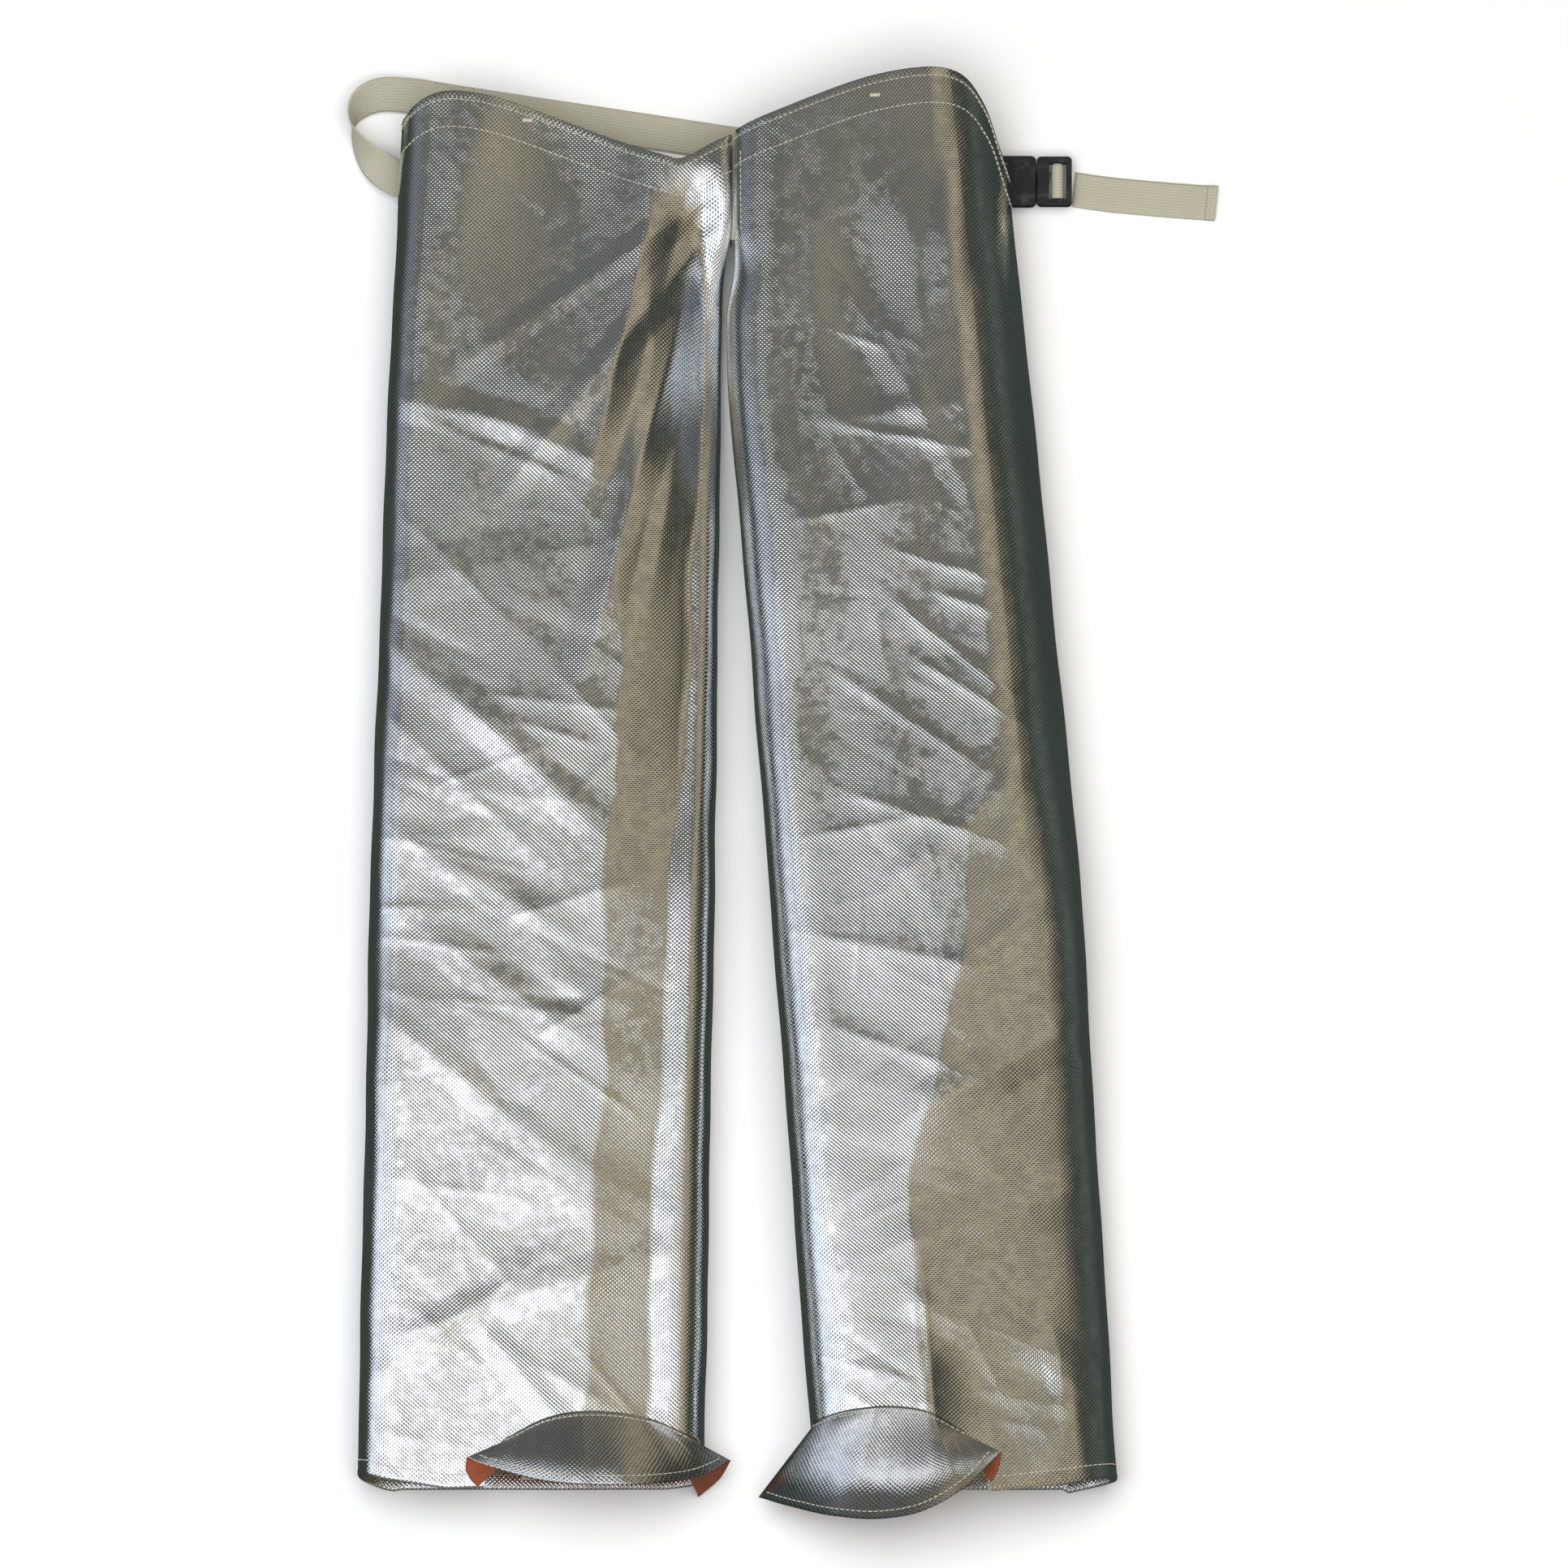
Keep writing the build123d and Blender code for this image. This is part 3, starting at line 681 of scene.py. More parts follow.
crumples(right_leg, 16, (-20, 130), (60, 460), -30, (0.12, 0.3), (6, 12), (30, 80))

# Columns of each leg's grid over the front, round each side and over the back
FRONT, ROUND, BACK = ((94, 30, 40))


def leg_grid(leg):
    """Places round the tube, from the back seam up the left side, over the front and down the right."""
    half, turn = np.arange(BACK // 2) * 0.5 / (BACK // 2), np.arange(ROUND) / ROUND
    return np.concatenate([2.5 + half, 3 + turn, np.arange(FRONT) / FRONT, 1 + turn, 2 + half])


def hem_y(leg, q):
    """Lower edge of the cloth for each place round the tube."""
    x = leg.section(q, np.full_like(q, NEAR_HEM_Y))[0]
    return np.where((q > 2) & (q < 3), HEM_BACK_Y, leg.bottom_y(x))


def leg_rows(leg, q):
    """Distance along the leg for every row and column, from the hem to the upper edge."""
    step = 2.45
    straight = np.linspace(SHIN_END_Y, HIP_Y, int((HIP_Y - SHIN_END_Y) / step) + 1)
    bottom = hem_y(leg, q)
    top = leg.top_edge(q)
    share_low = np.linspace(0, 1, int(66 / step), endpoint=False)[:, None]
    share_top = np.linspace(0, 1, int(205 / step) + 1)[1:, None]
    low = bottom[None] * (1 - share_low) + SHIN_END_Y * share_low
    high = HIP_Y * (1 - share_top) + top[None] * share_top
    return np.concatenate([low, np.repeat(straight[:, None], len(q), 1), high])


def inside_polygon(x, y, outline):
    """Whether plan points lie inside a closed outline."""
    inside = np.zeros(x.shape, bool)
    for (x0, y0), (x1, y1) in zip(outline, np.roll(outline, -1, axis=0)):
        crosses = (y0 > y) != (y1 > y)
        with np.errstate(divide="ignore", invalid="ignore"):
            at = (x1 - x0) * (y - y0) / (y1 - y0) + x0
        inside ^= crosses & (x < at)
    return inside


def nearest_on(line, x, y):
    """Nearest point of an open line to each plan point."""
    best = np.full(x.shape, 1e9)
    near = np.stack([x, y], axis=-1)
    for a, b in zip(line, line[1:]):
        run = b - a
        t = np.clip(((x - a[0]) * run[0] + (y - a[1]) * run[1]) / (run @ run), 0, 1)
        px, py = a[0] + t * run[0], a[1] + t * run[1]
        far = np.hypot(x - px, y - py)
        near = np.where((far < best)[..., None], np.stack([px, py], axis=-1), near)
        best = np.minimum(best, far)
    return near


def build_leg(leg):
    """The two cloth pieces of a leg, from one grid so that their shading meets."""
    q = leg_grid(leg)
    y = leg_rows(leg, q)
    rows, columns = y.shape
    grid = leg.point(q[None], y)
    arc = smooth_line([(x0, y0, 0) for x0, y0 in leg.mouth[1:]], 1.5)[:, :2]
    first, last = np.array(leg.mouth[0], float), arc[-1]
    line = np.vstack([[first[0], -530], first, arc, [last[0], -530]])
    cut = inside_polygon(grid[..., 0], grid[..., 1], line) & (grid[..., 2] > leg.radius - 6)
    faces = grid_quads(rows, columns, True)
    flat_cut = cut.ravel()
    keep = ~flat_cut[faces].all(axis=1)
    part_cut = flat_cut[faces].any(axis=1) & keep
    moved = np.unique(faces[part_cut])
    moved = moved[flat_cut[moved]]
    points = grid.reshape(-1, 3)
    near = nearest_on(line, points[moved, 0], points[moved, 1])
    at = leg.over(near[:, 0], near[:, 1])
    at[:, 2] = np.where(np.abs(at[:, 2] - points[moved, 2]) > 14, points[moved, 2], at[:, 2])
    normals = point_normals(points, faces)
    points[moved] = at
    row = faces[:, 0] // columns
    step = np.linalg.norm(np.diff(grid[rows // 2], axis=0, append=grid[rows // 2][:1]), axis=1)
    u = np.concatenate([[0], np.cumsum(step)])
    column = np.tile(np.arange(columns), rows - 1)
    u0, u1 = u[column], u[column + 1]
    uvs = np.stack([np.stack([u0, u1, u1, u0], 1), points[faces, 1]], axis=2)
    split_row = int(np.argmin(np.abs(y[:, columns // 2] - SPLIT_Y)))
    pieces = []
    for name, chosen in (("leg_upper", row >= split_row), ("leg_lower", row < split_row)):
        which = chosen & keep
        used_points, used_faces, used_normals = drop_unused(points, faces[which], normals)
        pieces.append(shell_piece(leg.side + "_" + name, used_points, used_normals, used_faces, uvs[which],
                                  WALL, [ALUMINISED, CLOTH_BACK]))
    return pieces


def bodies_blend(piece):
    """Bakes a piece's placement into its points."""
    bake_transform(piece)


# ---------------------------------------------------------------- stitches and ribbons


def unit(vector):
    return vector / max(np.linalg.norm(vector), 1e-9)


def line_at(line, along, place):
    """Point of a line at a distance along it."""
    return np.array([np.interp(place, along, line[:, a]) for a in range(3)])


def stitches(name, paths, pitch=4.0, share=0.78, radius=0.32):
    """Rows of thread, each stitch a small arch that dips into the cloth at both ends."""
    # each ring's place along the stitch, height and thickness
    rings = ((-0.5, -0.35, 0.55), (-0.36, 0.22, 1.0), (0.0, 0.38, 1.0), (0.36, 0.22, 1.0), (0.5, -0.35, 0.55))
    sides = 6
    angles = np.arange(sides) * 2 * math.pi / sides
    points, faces = [], []
    for line, ups in paths:
        steps = np.linalg.norm(np.diff(line, axis=0), axis=1)
        along = np.concatenate([[0], np.cumsum(steps)])
        count = max(1, int(along[-1] / pitch))
        for k in range(count):
            middle = (k + 0.5) * along[-1] / count
            length = pitch * share
            first, last = (line_at(line, along, middle + half * length) for half in (-0.5, 0.5))
            run = unit(last - first)
            up = line_at(ups, along, middle)
            up = unit(up - run * (up @ run))
            side = np.cross(run, up)
            base = len(points)
            for t, high, thick in rings:
                centre = line_at(line, along, middle + length * t) + up * high * radius
                size = radius * thick
                points.extend(centre + (side * math.cos(a) + up * math.sin(a)) * size for a in angles)
            for r in range(len(rings) - 1):
                for s in range(sides):
                    a = base + r * sides + s
                    b = base + r * sides + (s + 1) % sides
                    faces.append((a, b, b + sides, a + sides))
            faces.append(tuple(base + s for s in reversed(range(sides))))
            faces.append(tuple(base + (len(rings) - 1) * sides + s for s in range(sides)))
    return make_piece(name, np.array(points), faces, [THREAD])


WEBBING_WIDTH = 25.4
WEBBING_THICK = 1.4


def ribbon(name, centres, across):
    """Flat webbing with rounded selvedges along centre points, with its across directions."""
    width, cols = WEBBING_WIDTH, 14
    centres = np.asarray(centres, float)
    across = np.asarray(across, float)
    across /= np.linalg.norm(across, axis=1, keepdims=True)
    run = np.gradient(centres, axis=0)
    run /= np.linalg.norm(run, axis=1, keepdims=True)
    up = np.cross(run, across)
    up /= np.linalg.norm(up, axis=1, keepdims=True)
    offsets = np.linspace(-0.5, 0.5, cols) * width
    edge = 1 - np.clip((np.abs(offsets) - width / 2 + 1.0) / 1.0, 0, 1) ** 2 * 0.75
    selvedge = 1 + 0.12 * np.exp(-((np.abs(offsets) - width / 2 + 1.8) / 0.9) ** 2)
    half = WEBBING_THICK / 2 * edge * selvedge
    loop_off = np.concatenate([offsets, offsets[::-1]])
    loop_up = np.concatenate([half, -half[::-1]])
    grid = centres[:, None] + across[:, None] * loop_off[None, :, None] + up[:, None] * loop_up[None, :, None]
    rows, count = grid.shape[:2]
    faces = grid_quads(rows, count, True)
    length = np.concatenate([[0], np.cumsum(np.linalg.norm(np.diff(centres, axis=0), axis=1))])
    j = np.repeat(np.arange(rows - 1), count)
    i = np.tile(np.arange(count), rows - 1)
    next_i = (i + 1) % count
    u0, u1, v0, v1 = loop_off[i], loop_off[next_i], length[j], length[j + 1]
    uvs = np.stack([np.stack([u0, u1, u1, u0], 1), np.stack([v0, v0, v1, v1], 1)], axis=2)
    caps, cap_uvs = [], []
    for row, turn in ((0, -1), (rows - 1, 1)):
        for k in range(cols - 1):
            a, b = row * count + k, row * count + k + 1
            c, d = row * count + count - 2 - k, row * count + count - 1 - k
            caps.append((a, b, c, d)[::turn])
            cap_uvs.append([[loop_off[k], 0]] * 4)
    faces = np.concatenate([faces, np.array(caps)])
    uvs = np.concatenate([uvs, np.array(cap_uvs)])
    if np.dot(point_normals(grid.reshape(-1, 3), faces)[cols // 2], up[0]) < 0:
        faces, uvs = faces[:, ::-1], uvs[:, ::-1]
    return make_piece(name, grid.reshape(-1, 3), faces, [WEBBING], uvs=uvs), length[-1]


def ribbon_points(stations):
    """Smooth centre line and across directions from stations with heading and roll in degrees."""
    line = smooth_line(stations, 2.5)
    heading, roll = np.radians(line[:, 3]), np.radians(line[:, 4])
    across = np.stack([-np.sin(heading) * np.cos(roll), np.cos(heading) * np.cos(roll), -np.sin(roll)], 1)
    return line[:, :3], across


# ---------------------------------------------------------------- garment


LEG_BODIES = {"left": ("left_thigh", "left_shin", "left_flare"),
              "right": ("right_thigh", "right_shin", "right_flare")}
left_upper, left_lower = build_leg(left_leg)
right_upper, right_lower = build_leg(right_leg)
LEGS = ((left_leg, left_upper, left_lower), (right_leg, right_upper, right_lower))
for leg, upper, lower in LEGS:
    side = leg.side
    thigh, shin, _ = LEG_BODIES[side]
    bodies_blend(upper)
    bodies_blend(lower)
    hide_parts(side + "_waist_panel")
    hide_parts(side + "_thigh_panel", side + "_shin_panel")


def sheet_normals(grid):
    """Smooth normals of an open grid of points."""
    faces = grid_quads(grid.shape[0], grid.shape[1], False)
    return point_normals(grid.reshape(-1, 3), faces).reshape(grid.shape)


def layer_piece(name, grid, thickness, materials, flip=False):
    """Closed thin sheet over an open grid of outside points."""
    if flip:
        grid = grid[:, ::-1]
    faces, uvs = sheet_grid(grid)
    points = grid.reshape(-1, 3)
    piece = shell_piece(name, points, point_normals(points, faces), faces, uvs, thickness, materials)
    return piece


def edge_qs(leg, count):
    """Places round the front, from the outer side's lower edge to the centre seam."""
    outer = math.acos(1 - (PANEL_SIDE_Z + 3) / leg.radius) / math.pi
    start, end = (outer, 0.5) if leg.side == "left" else (0.5, 1 - outer)
    return np.concatenate([3 + np.linspace(start, 1, count // 5, endpoint=False),
                           np.linspace(0, 1, count // 5 * 3, endpoint=False),
                           1 + np.linspace(0, end, count // 5)])


def edge_row(leg, qs, below, depth=0.0):
    """Points that lie a distance below the waist edge, measured along the leg."""
    return leg.point(qs, leg.top_edge(qs) - below, depth)


# The casing is turned in over the waist edge: distance below the edge and depth inside the cloth
CASING_TURN = [(4.0, -0.25), (1.5, -0.3), (0.0, -0.05), (-0.7, 0.5), (-0.75, 1.4), (0.0, 2.3), (3.0, 3.0),
               (8.0, 4.3), (15.0, 4.6), (22.0, 4.2), (27.0, 3.0), (30.5, 2.0)]
CASING_ROWS = (5.5, 25.5)    # its two rows of stitching, below the edge
UP = [0.0, 0.0, 1.0]
for leg in (left_leg, right_leg):
    qs = edge_qs(leg, 150)
    grid = np.array([edge_row(leg, qs, below, depth) for below, depth in CASING_TURN])
    piece = layer_piece(leg.side + "_casing_turning", grid, 0.6, [ALUMINISED, CLOTH_BACK])
    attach(piece, "root")
    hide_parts(leg.side + "_casing_facing")

seams = []
for leg in (left_leg, right_leg):
    qs = edge_qs(leg, 240)
    for below in CASING_ROWS:
        line = edge_row(leg, qs, below, -0.15)
        seams.append((line, line - edge_row(leg, qs, below, 3.0)))
# Rise seam: top-stitched on the right-hand panel
rise_y = np.linspace(RISE_LOW_Y + 3, 456, 40)
rise_line = right_leg.over(np.full_like(rise_y, RISE_X + 5.5), rise_y, -0.2)
seams.append((rise_line, np.tile(UP, (40, 1))))
waist_stitches = stitches("waist_stitching", seams)
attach(waist_stitches, "root")

# Bartacks: close zigzags over the casing where the webbing is held
tack_paths = []
for leg, x, y in ((left_leg, -184, 481), (right_leg, 65, 495)):
    for k in range(9):
        dx = -3.2 + k * 0.8
        ends = np.array([[x + dx, y - 1.3], [x + dx + 0.3, y + 1.3]])
        line = leg.over(ends[:, 0], ends[:, 1], -0.3)
        tack_paths.append((line, np.tile(UP, (2, 1))))
for k in range(7):
    y = RISE_LOW_Y - 1.5 + k * 0.8
    line = right_leg.over(np.array([RISE_X - 0.2, RISE_X + 3.2]), np.array([y, y + 0.2]), -0.3)
    tack_paths.append((line, np.tile(UP, (2, 1))))
tacks = stitches("bartack_stitching", tack_paths, pitch=3.2, share=0.95, radius=0.4)
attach(tacks, "root")
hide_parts("casing_bartacks", "crotch_bartack")

# The two panels' allowances stand together under the rise seam
ys = np.linspace(RISE_LOW_Y + 1, 464, 40)
allowance = []
for x, z in ((-1.3, 10), (-1.5, 22), (-1.9, 34), (-1.1, 40.5), (0, 41.5), (1.1, 42.0), (1.9, 34), (1.5, 22),
             (1.3, 10)):
    wave = 0.35 * np.sin(ys / 7)
    allowance.append(np.stack([RISE_X + x + wave, ys, np.full_like(ys, z)], axis=1))
rise_piece = layer_piece("rise_seam_turning", np.array(allowance), 0.7, [ALUMINISED, CLOTH_BACK])
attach(rise_piece, "root")
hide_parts("rise_seam_allowance")

# Back seams: pressed-open allowances along the inside of the back
for leg in (left_leg, right_leg):
    thigh, shin, _ = LEG_BODIES[leg.side]
    ys = np.linspace(-498, 312, 180)
    middle_x = (leg.left(ys) + leg.right(ys)) / 2
    rows = []
    for off, high in ((-7.5, 2.1), (-6.5, 2.6), (-3.5, 2.9), (-0.6, 2.7), (0, 2.2), (0.6, 2.7), (3.5, 2.9),
                      (6.5, 2.6), (7.5, 2.1)):
        lift = 0.35 * np.sin(ys / 23 + off) + 0.8
        rows.append(np.stack([middle_x + off + 0.4 * np.sin(ys / 17), ys, high + lift], axis=1))
    piece = layer_piece(leg.side + "_back_seam_turning", np.array(rows), 0.6, [CLOTH_BACK, CLOTH_BACK],
                        flip=True)
    bodies_blend(piece)
    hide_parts(leg.side + "_thigh_back_seam", leg.side + "_shin_back_seam")


# ---------------------------------------------------------------- hems and flares


# The hem is turned in over the lower edge: distance above the edge and depth inside the cloth
HEM_TURN = [(3.0, -0.25), (0.8, -0.3), (-0.6, 0.3), (-0.6, 1.3), (0.6, 2.0), (5, 2.4), (10, 2.5), (14, 2.2),
            (16, 1.8)]
HEM_ROW = 9.5                # its row of stitching, above the edge

for leg in (left_leg, right_leg):
    _, shin, _ = LEG_BODIES[leg.side]
    qs = leg_grid(leg)
    x = leg.section(qs, np.full_like(qs, NEAR_HEM_Y))[0]
    z = leg.point(qs, NEAR_HEM_Y)[:, 2]
    front = (qs < 2) | (qs > 3)
    low_x, high_x = sorted((leg.mouth[0][0], leg.mouth[-1][0]))
    open_here = np.flatnonzero(front & (x > low_x - 0.5) & (x < high_x + 0.5) & (z > leg.radius - 6))
    q = np.concatenate([qs[open_here[-1] + 1:], qs[:open_here[0]]])
    bottom = hem_y(leg, q)
    grid = np.array([leg.point(q, bottom + up, depth) for up, depth in HEM_TURN])
    piece = layer_piece(leg.side + "_hem_turning", grid, 0.6, [ALUMINISED, CLOTH_BACK], flip=True)
    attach(piece, shin)
    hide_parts(leg.side + "_hem_facing")
    outside_line, inside_line, inside = (leg.point(q, bottom + HEM_ROW, depth) for depth in (-0.2, 2.9, 3.0))
    hem_stitches = stitches(leg.side + "_hem_stitching", [(outside_line, outside_line - inside),
                                                           (inside_line, inside - outside_line)])
    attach(hem_stitches, shin)


FLARES = {
    # seam from left to right on the leg's front, then the free edge with its heights
    "left": {
        "seam": [(-198, -477), (-168, -462), (-134, -457.3), (-98, -461.5), (-70, -473)],
        "edge": [(-225, -489, 54), (-212, -495.5, 58), (-172, -507.5, 65), (-134, -511, 70),
                 (-96, -509.5, 65), (-62, -502, 47), (-38, -487.5, 27)],
        "bulge": 3.2,
    },
    "right": {
        "seam": [(22, -466), (47, -459.5), (76, -457), (103, -461), (128, -474)],
        "edge": [(-18, -512, 17), (4, -521, 33), (36, -531, 52), (69, -534, 60), (100, -529, 66),
                 (131, -511.5, 72), (154, -488.5, 75)],
        "bulge": 9.0,
    },
}


def flare_grid(leg, spec):
    """Outside of a spat with its normals, from its seam on the leg to its free edge."""
    count, down = ((110, 34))
    seam = picked([(x, y, 0) for x, y in spec["seam"]], 1.0, count)
    seam = leg.over(seam[:, 0], seam[:, 1], -0.9)
    edge = picked(spec["edge"], 1.0, count)
    t = np.linspace(0, 1, down)[:, None, None]
    s = np.linspace(0, 1, count)[None, :, None]
    grid = seam[None] * (1 - t) + edge[None] * t
    bow = spec["bulge"] * np.sin(math.pi * t ** 1.6) * np.clip(np.sin(math.pi * s), 0, 1) ** 0.6
    folds = 0.9 * t * (np.sin(s * 21 + 0.7) * 0.6 + np.sin(s * 33 + 2) * 0.4) * np.sin(math.pi * s)
    grid = grid + np.concatenate([0 * bow, -0.25 * bow, bow * 0.9 + folds], axis=2)
    normals = sheet_normals(grid)
    if normals[down // 2, count // 2, 2] < 0:
        normals = -normals
    return grid, normals


for leg in (left_leg, right_leg):
    _, shin, flare = LEG_BODIES[leg.side]
    grid, normals = flare_grid(leg, FLARES[leg.side])
    # The seam's turned allowance makes a low ridge above the flare
    hidden = grid[0] + np.array([0, 3.0, -2.2])
    crown = grid[0] + np.array([0, 1.2, 0.1])
    edge_in = grid[-1] - normals[-1] * 1.2
    edge_turn = grid[-1] - normals[-1] * 0.6 + (grid[-1] - grid[-2]) * 0.35
    full = np.concatenate([hidden[None], crown[None], grid, edge_turn[None], edge_in[None]])
    flip = np.cross(full[6, 5] - full[6, 4], full[7, 4] - full[6, 4])[2] < 0
    piece = layer_piece(leg.side + "_flare_cloth", full, 0.7, [FLARE_ALUMINISED_PAINTED_SHADE, CLOTH_BACK], flip=flip)
    under = grid[2:] - normals[2:] * 1.3
    lining = layer_piece(leg.side + "_flare_inside", under, 0.6, [LINING, LINING], flip=not flip)
    inwards = grid[-4] - grid[-1]
    inset = grid[-1] + inwards * (6.0 / np.maximum(np.linalg.norm(inwards, axis=1), 1))[:, None]
    outwards = normals[-3][2:-2]
    inset = inset[2:-2] + outwards * 0.25
    thread = stitches(leg.side + "_flare_stitching", [
        (inset, outwards), (inset - outwards * 2.6, -outwards), (grid[1] + normals[1] * 0.25, normals[1])])
    for made, slot in ((piece, "aluminised_cloth"), (lining, "flare_lining"), (thread, "sewing_thread")):
        bodies_blend(made)
    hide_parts(leg.side + "_flare_shell")
    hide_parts(leg.side + "_flare_lining")


# The spats' ends turn down towards the hem and show their lining from above
TIPS = (
    # side, name, free edge from the tip inwards, then the low edge from the tip to the hem
    ("left", "outer", [(-225, -489, 54), (-217, -493.5, 56.5), (-204, -499, 59)],
     [(-226, -490, 53.6), (-226, -500, 53.4), (-218, -511, 53)]),
    ("left", "inner", [(-38, -487.5, 27), (-52, -496.5, 39), (-68, -504, 50)],
     [(-38.5, -488.5, 26), (-46, -499, 14), (-61, -510, 2)]),
    ("right", "outer", [(154, -488.5, 75), (149, -494.5, 73), (142, -502, 72)],
     [(154.5, -489.5, 74), (152, -500, 69), (146, -511, 60)]),
)
for side, name, high_edge, low_edge in TIPS:
    _, shin, flare = LEG_BODIES[side]
    top, low = picked(high_edge, 1.0, 24), picked(low_edge, 1.0, 24)
    t = np.linspace(0, 1, 16)[:, None, None]
    hollow = np.sin(math.pi * t) * np.linspace(0, 1, 24)[None, :, None] * np.array([0, 1.5, -2.5])
    grid = top[None] * (1 - t) + low[None] * t + hollow
    flip = sheet_normals(grid)[8, 12, 2] < 0
    tip = layer_piece(side + "_flare_tip_" + name, grid, 0.8, [LINING, FLARE_ALUMINISED_PAINTED_SHADE], flip=flip)
    bodies_blend(tip)


# ---------------------------------------------------------------- belt


# Out of the left casing, round the loop at the hip and along the back: place, heading, roll
LOOP = [(-214, 425, 33, 170, 0), (-240, 433, 16, 168, 0), (-262, 441, 9, 165, 0), (-280, 447, 10, 155, 8),
        (-297, 460, 12, 128, 45), (-309.6, 482, 13.2, 90, 90), (-305, 498, 12.2, 52, 128),
        (-291, 507, 8.0, 20, 154), (-268, 507.6, 3.2, -2, 172), (-232, 502.6, 1.2, -8.7, 180),
        (-100, 482.3, 0.85, -8.7, 180), (60, 458.2, 0.85, -8.7, 180), (190, 439.7, 0.85, -8.7, 180)]
centres, across = ribbon_points(LOOP)
belt_loop, loop_length = ribbon("belt_waist_run", centres, across)
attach(belt_loop, "root")
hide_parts("belt_hip_loop", "belt_back_run", "left_casing_webbing")

tail_line = smooth_line([(207.9, 439.6, 0.75), (224, 437.2, 0.75), (242, 435.0, 0.75), (275, 432.0, 0.75),
                         (310, 429.4, 0.75)], 2.5)
TAIL_ACROSS = [0.105, 0.994, 0.0]
belt_tail, tail_length = ribbon("belt_free_tail", tail_line, np.tile(TAIL_ACROSS, (len(tail_line), 1)))
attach(belt_tail, "belt_tail")
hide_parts("belt_tail")
hem_line = smooth_line([(303.2, 429.9, 2.25), (306.5, 429.7, 2.3), (310.2, 429.4, 2.2)], 1.0)
tail_hem, _ = ribbon("belt_tail_turning", hem_line, np.tile(TAIL_ACROSS, (len(hem_line), 1)))
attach(tail_hem, "belt_tail")
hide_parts("belt_tail_hem")
stitch_ends = np.array([[304.0, 418.9, 3.1], [306.2, 440.8, 3.1]])
tail_thread = stitches("belt_tail_stitching", [(np.linspace(stitch_ends[0], stitch_ends[1], 12),
                                                np.tile(UP, (12, 1)))], pitch=3.0)
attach(tail_thread, "belt_tail")


def straight_ribbon(name, line):
    """Webbing whose width lies along the leg."""
    return ribbon(name, line, np.tile([0.0, 1.0, 0.0], (len(line), 1)))


def arc_line(centre, half_x, half_z, angles):
    """Points on an upright ellipse, from its half sizes."""
    turn = np.radians(angles)
    return np.stack([centre[0] + half_x * np.cos(turn), np.full(len(turn), centre[1]),
                     centre[2] + half_z * np.sin(turn)], 1)


# Fixed end: out of the right casing and round the socket's bar
socket_line = smooth_line([(118, 447, 52), (132, 445.5, 34), (141, 444.4, 18), (146.5, 444, 14.0),
                           (153, 444, 13.5), (159.5, 444, 13.5)], 1.5)
socket_end, socket_length = straight_ribbon("belt_socket_fold", socket_line)
ring, ring_length = straight_ribbon("belt_socket_ring",
                                    arc_line((148.0, 444.0, 7.4), 2.6, 5.0, np.linspace(100, 460, 30)))
for piece in (socket_end, ring):
    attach(piece, "root")
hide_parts("belt_socket_end", "right_casing_webbing")
wrap_low, wrap_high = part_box("belt_bar_wrap")
wrap_middle = ((np.array(wrap_low) + np.array(wrap_high)) / 2 - SHIFT) / MM
wrap_half = (np.array(wrap_high) - np.array(wrap_low)) / 2 / MM
wrap_x, _, wrap_z = wrap_half - WEBBING_THICK / 2
wrap, wrap_length = straight_ribbon("belt_bar_fold",
                                    arc_line(wrap_middle, wrap_x, wrap_z, np.linspace(215, -35, 26)))
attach(wrap, "buckle_plug")
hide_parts("belt_bar_wrap")

for node in ("buckle_socket", "buckle_plug", "buckle_arm_front", "buckle_arm_rear"):
    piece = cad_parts[node]
    piece.data.materials.clear()
    piece.data.materials.append(PLASTIC)


# ---------------------------------------------------------------- sheets as they were cut


# Each leg's cloth: a y where its girth is taken, its length, and the share that the curved edges leave
UPPER_CUT = (260.0, 395, 0.72)
LOWER_CUT = (-200.0, 635, 0.97)
for leg, upper, lower in LEGS:
    for piece, (y, length, share) in ((upper, UPPER_CUT), (lower, LOWER_CUT)):
        girth = 2 * (leg.right(y) - leg.left(y) - leg.height) + math.pi * leg.height


# ---------------------------------------------------------------- floor and light


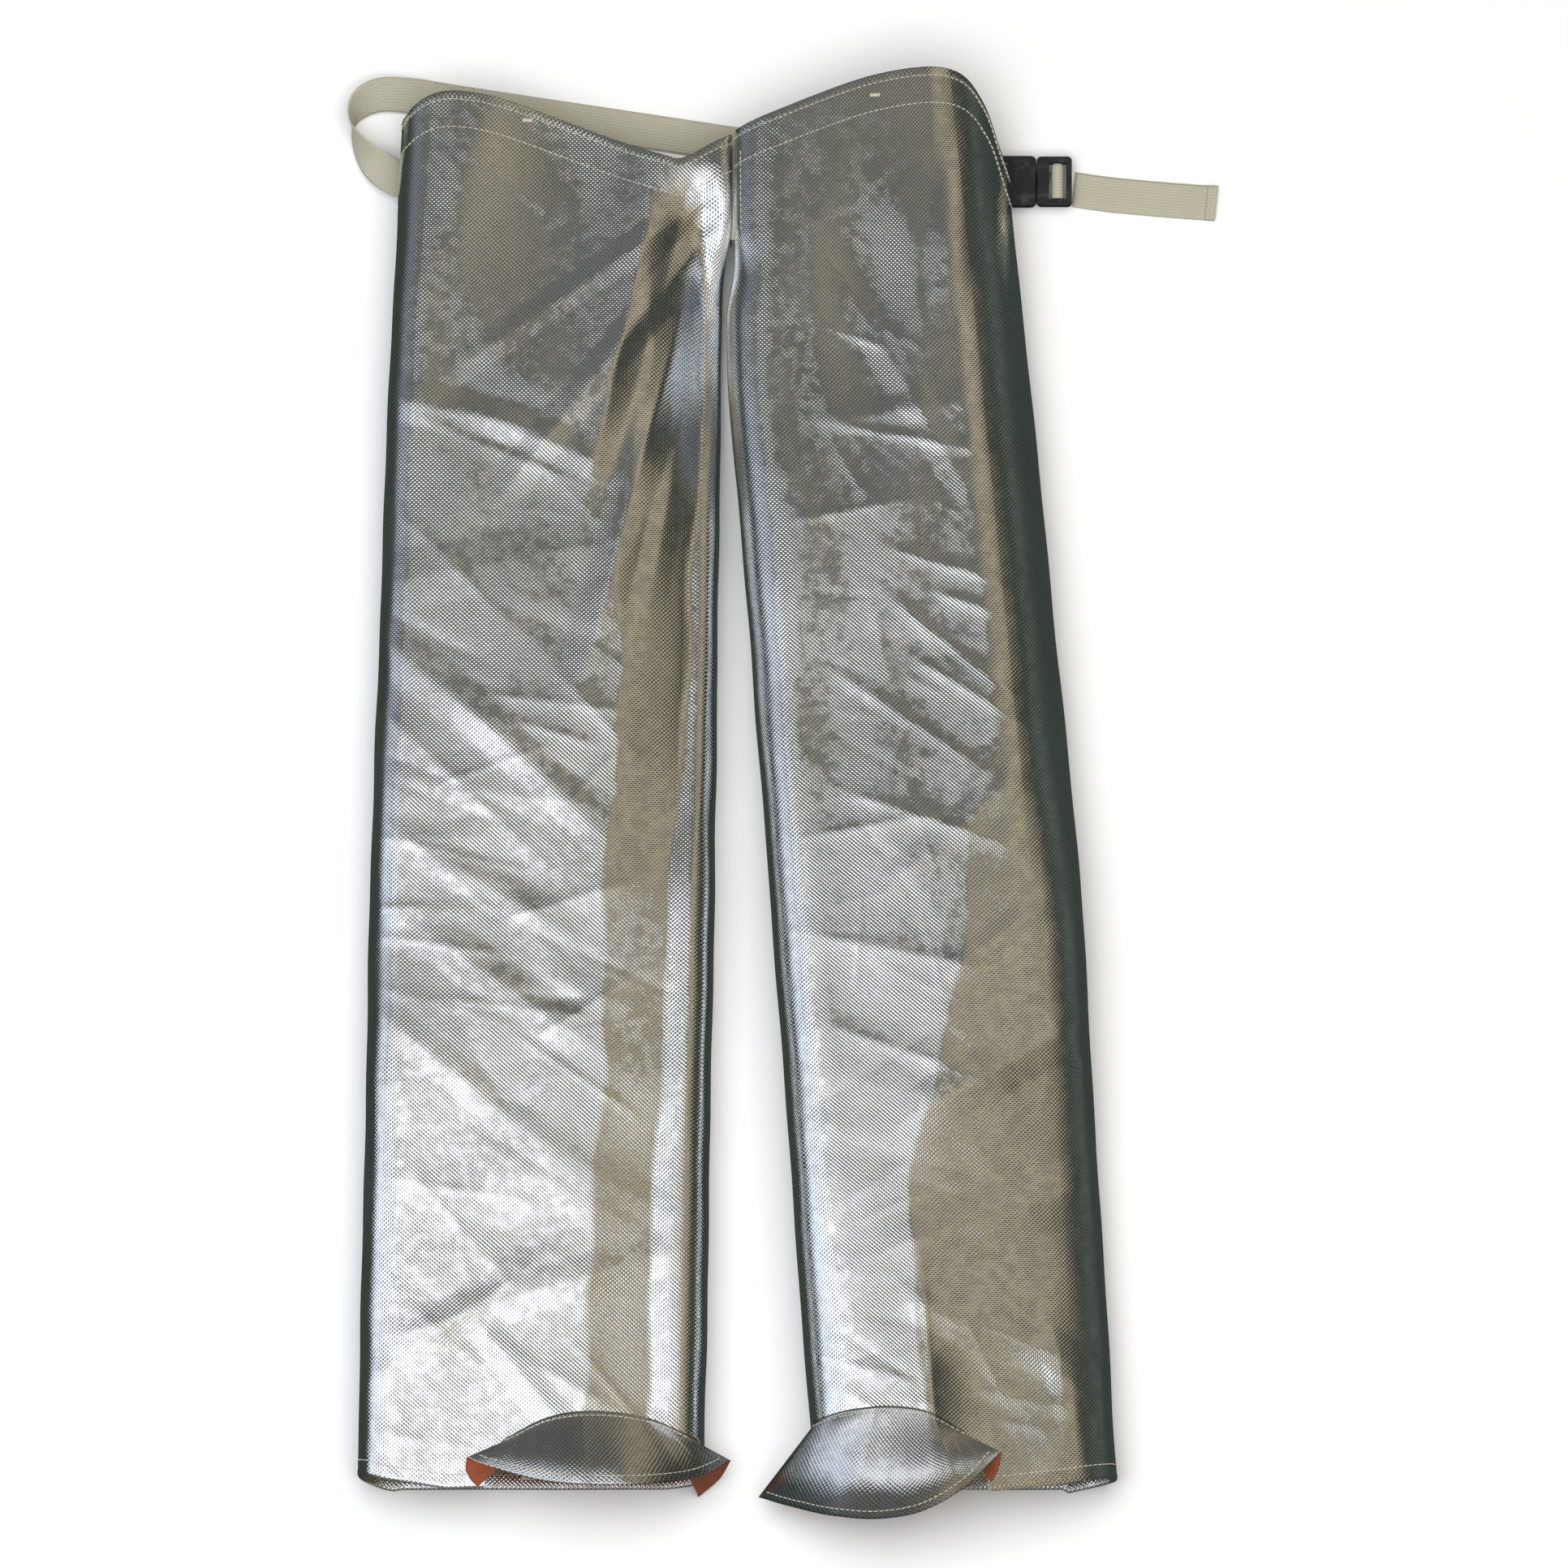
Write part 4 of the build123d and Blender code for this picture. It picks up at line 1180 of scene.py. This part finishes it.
def world_light():
    """Soft studio surround: light above, grey-green low down, a warm and a cool side."""
    world = bpy.data.worlds.new("studio")
    bpy.context.scene.world = world
    tree = NodeTree(world)
    split = tree.nodes.new("ShaderNodeSeparateXYZ")
    tree.put(split.inputs[0], tree.nodes.new("ShaderNodeTexCoord").outputs["Generated"])
    ramp = tree.nodes.new("ShaderNodeValToRGB")
    tree.put(ramp.inputs[0], tree.math("MULTIPLY", tree.math("ADD", split.outputs[0], 1.0), 0.5))
    # colours above, by the direction's x
    stops = [(-1.0, (0.06, 0.075, 0.065)), (-0.90, (0.11, 0.125, 0.13)), (-0.80, (0.20, 0.22, 0.26)),
             (-0.60, (0.17, 0.18, 0.19)), (-0.30, (0.155, 0.16, 0.15)), (0.14, (0.15, 0.152, 0.137)),
             (0.26, (0.40, 0.36, 0.27)), (0.46, (0.52, 0.45, 0.31)), (0.60, (0.10, 0.10, 0.08)),
             (0.80, (0.04, 0.045, 0.04)), (0.93, (0.12, 0.14, 0.12)), (1.0, (0.07, 0.09, 0.075))]
    elements = ramp.color_ramp.elements
    while len(elements) < len(stops):
        elements.new(0.5)
    for element, (x, colour) in zip(elements, stops):
        element.position = (x + 1) / 2
        element.color = (*colour, 1)
    upward = tree.spread(split.outputs[2], -0.10, 0.22, 0, 1)
    light = tree.mix(upward, (0.050, 0.064, 0.054), ramp.outputs[0])
    seen = tree.nodes.new("ShaderNodeLightPath").outputs["Is Camera Ray"]
    tree.put(tree.nodes["Background"].inputs[0], tree.mix(seen, light, (0.95, 0.95, 0.95)))


def area_light(name, place, size, power, colour=(1, 1, 1), glossy=True, turn=(0, 0, 0)):
    """Soft box that points straight down at the floor, unless it is turned (degrees)."""
    data = bpy.data.lights.new(name, "AREA")
    data.shape = "RECTANGLE"
    data.size, data.size_y = size
    data.energy = power
    data.color = colour
    light = bpy.data.objects.new(name, data)
    light.location = place
    light.rotation_euler = [math.radians(angle) for angle in turn]
    light.visible_camera = False
    light.visible_glossy = glossy
    bpy.context.scene.collection.objects.link(light)


world_light()
area_light("overhead_soft_box", (-0.435, -0.435, 2.0), (1.4, 1.3), 7.4, (0.93, 0.955, 1.0), turn=(0, 0, -45))
area_light("side_soft_box", (-1.45, -0.36, 1.25), (1.5, 1.3), 6.4, (0.80, 0.88, 1.0), turn=(0, -50, 0))
area_light("fill_soft_box", (0, 0, 3.2), (4.5, 4.5), 150, glossy=False)


def floor_material():
    """Pale paint that turns into an even glow far from the object, so no view shows a horizon."""
    graph = Graph("floor_paint", (0.86, 0.86, 0.86), 0.9)
    distance = graph.nodes.new("ShaderNodeVectorMath")
    distance.operation = "LENGTH"
    graph.put(distance.inputs[0], graph.place())
    far = graph.spread(distance.outputs["Value"], 0.9, 3.0, 0, 1)
    graph.colour(graph.mix(far, (0.86, 0.86, 0.86), (0, 0, 0)))
    graph.shader.inputs["Emission Color"].default_value = (1, 1, 1, 1)
    graph.put(graph.shader.inputs["Emission Strength"], graph.math("MULTIPLY", far, 0.92))
    return graph.material


FLOOR_HALF = 14.0
FLOOR_Z = -0.0004
floor_mesh = bpy.data.meshes.new("floor")
floor_corners = [(x * FLOOR_HALF, y * FLOOR_HALF, FLOOR_Z) for x, y in ((-1, -1), (1, -1), (1, 1), (-1, 1))]
floor_mesh.from_pydata(floor_corners, [], [(0, 1, 2, 3)])
floor_mesh.materials.append(floor_material())
floor = bpy.data.objects.new("floor", floor_mesh)
floor.visible_glossy = False
bpy.context.scene.collection.objects.link(floor)
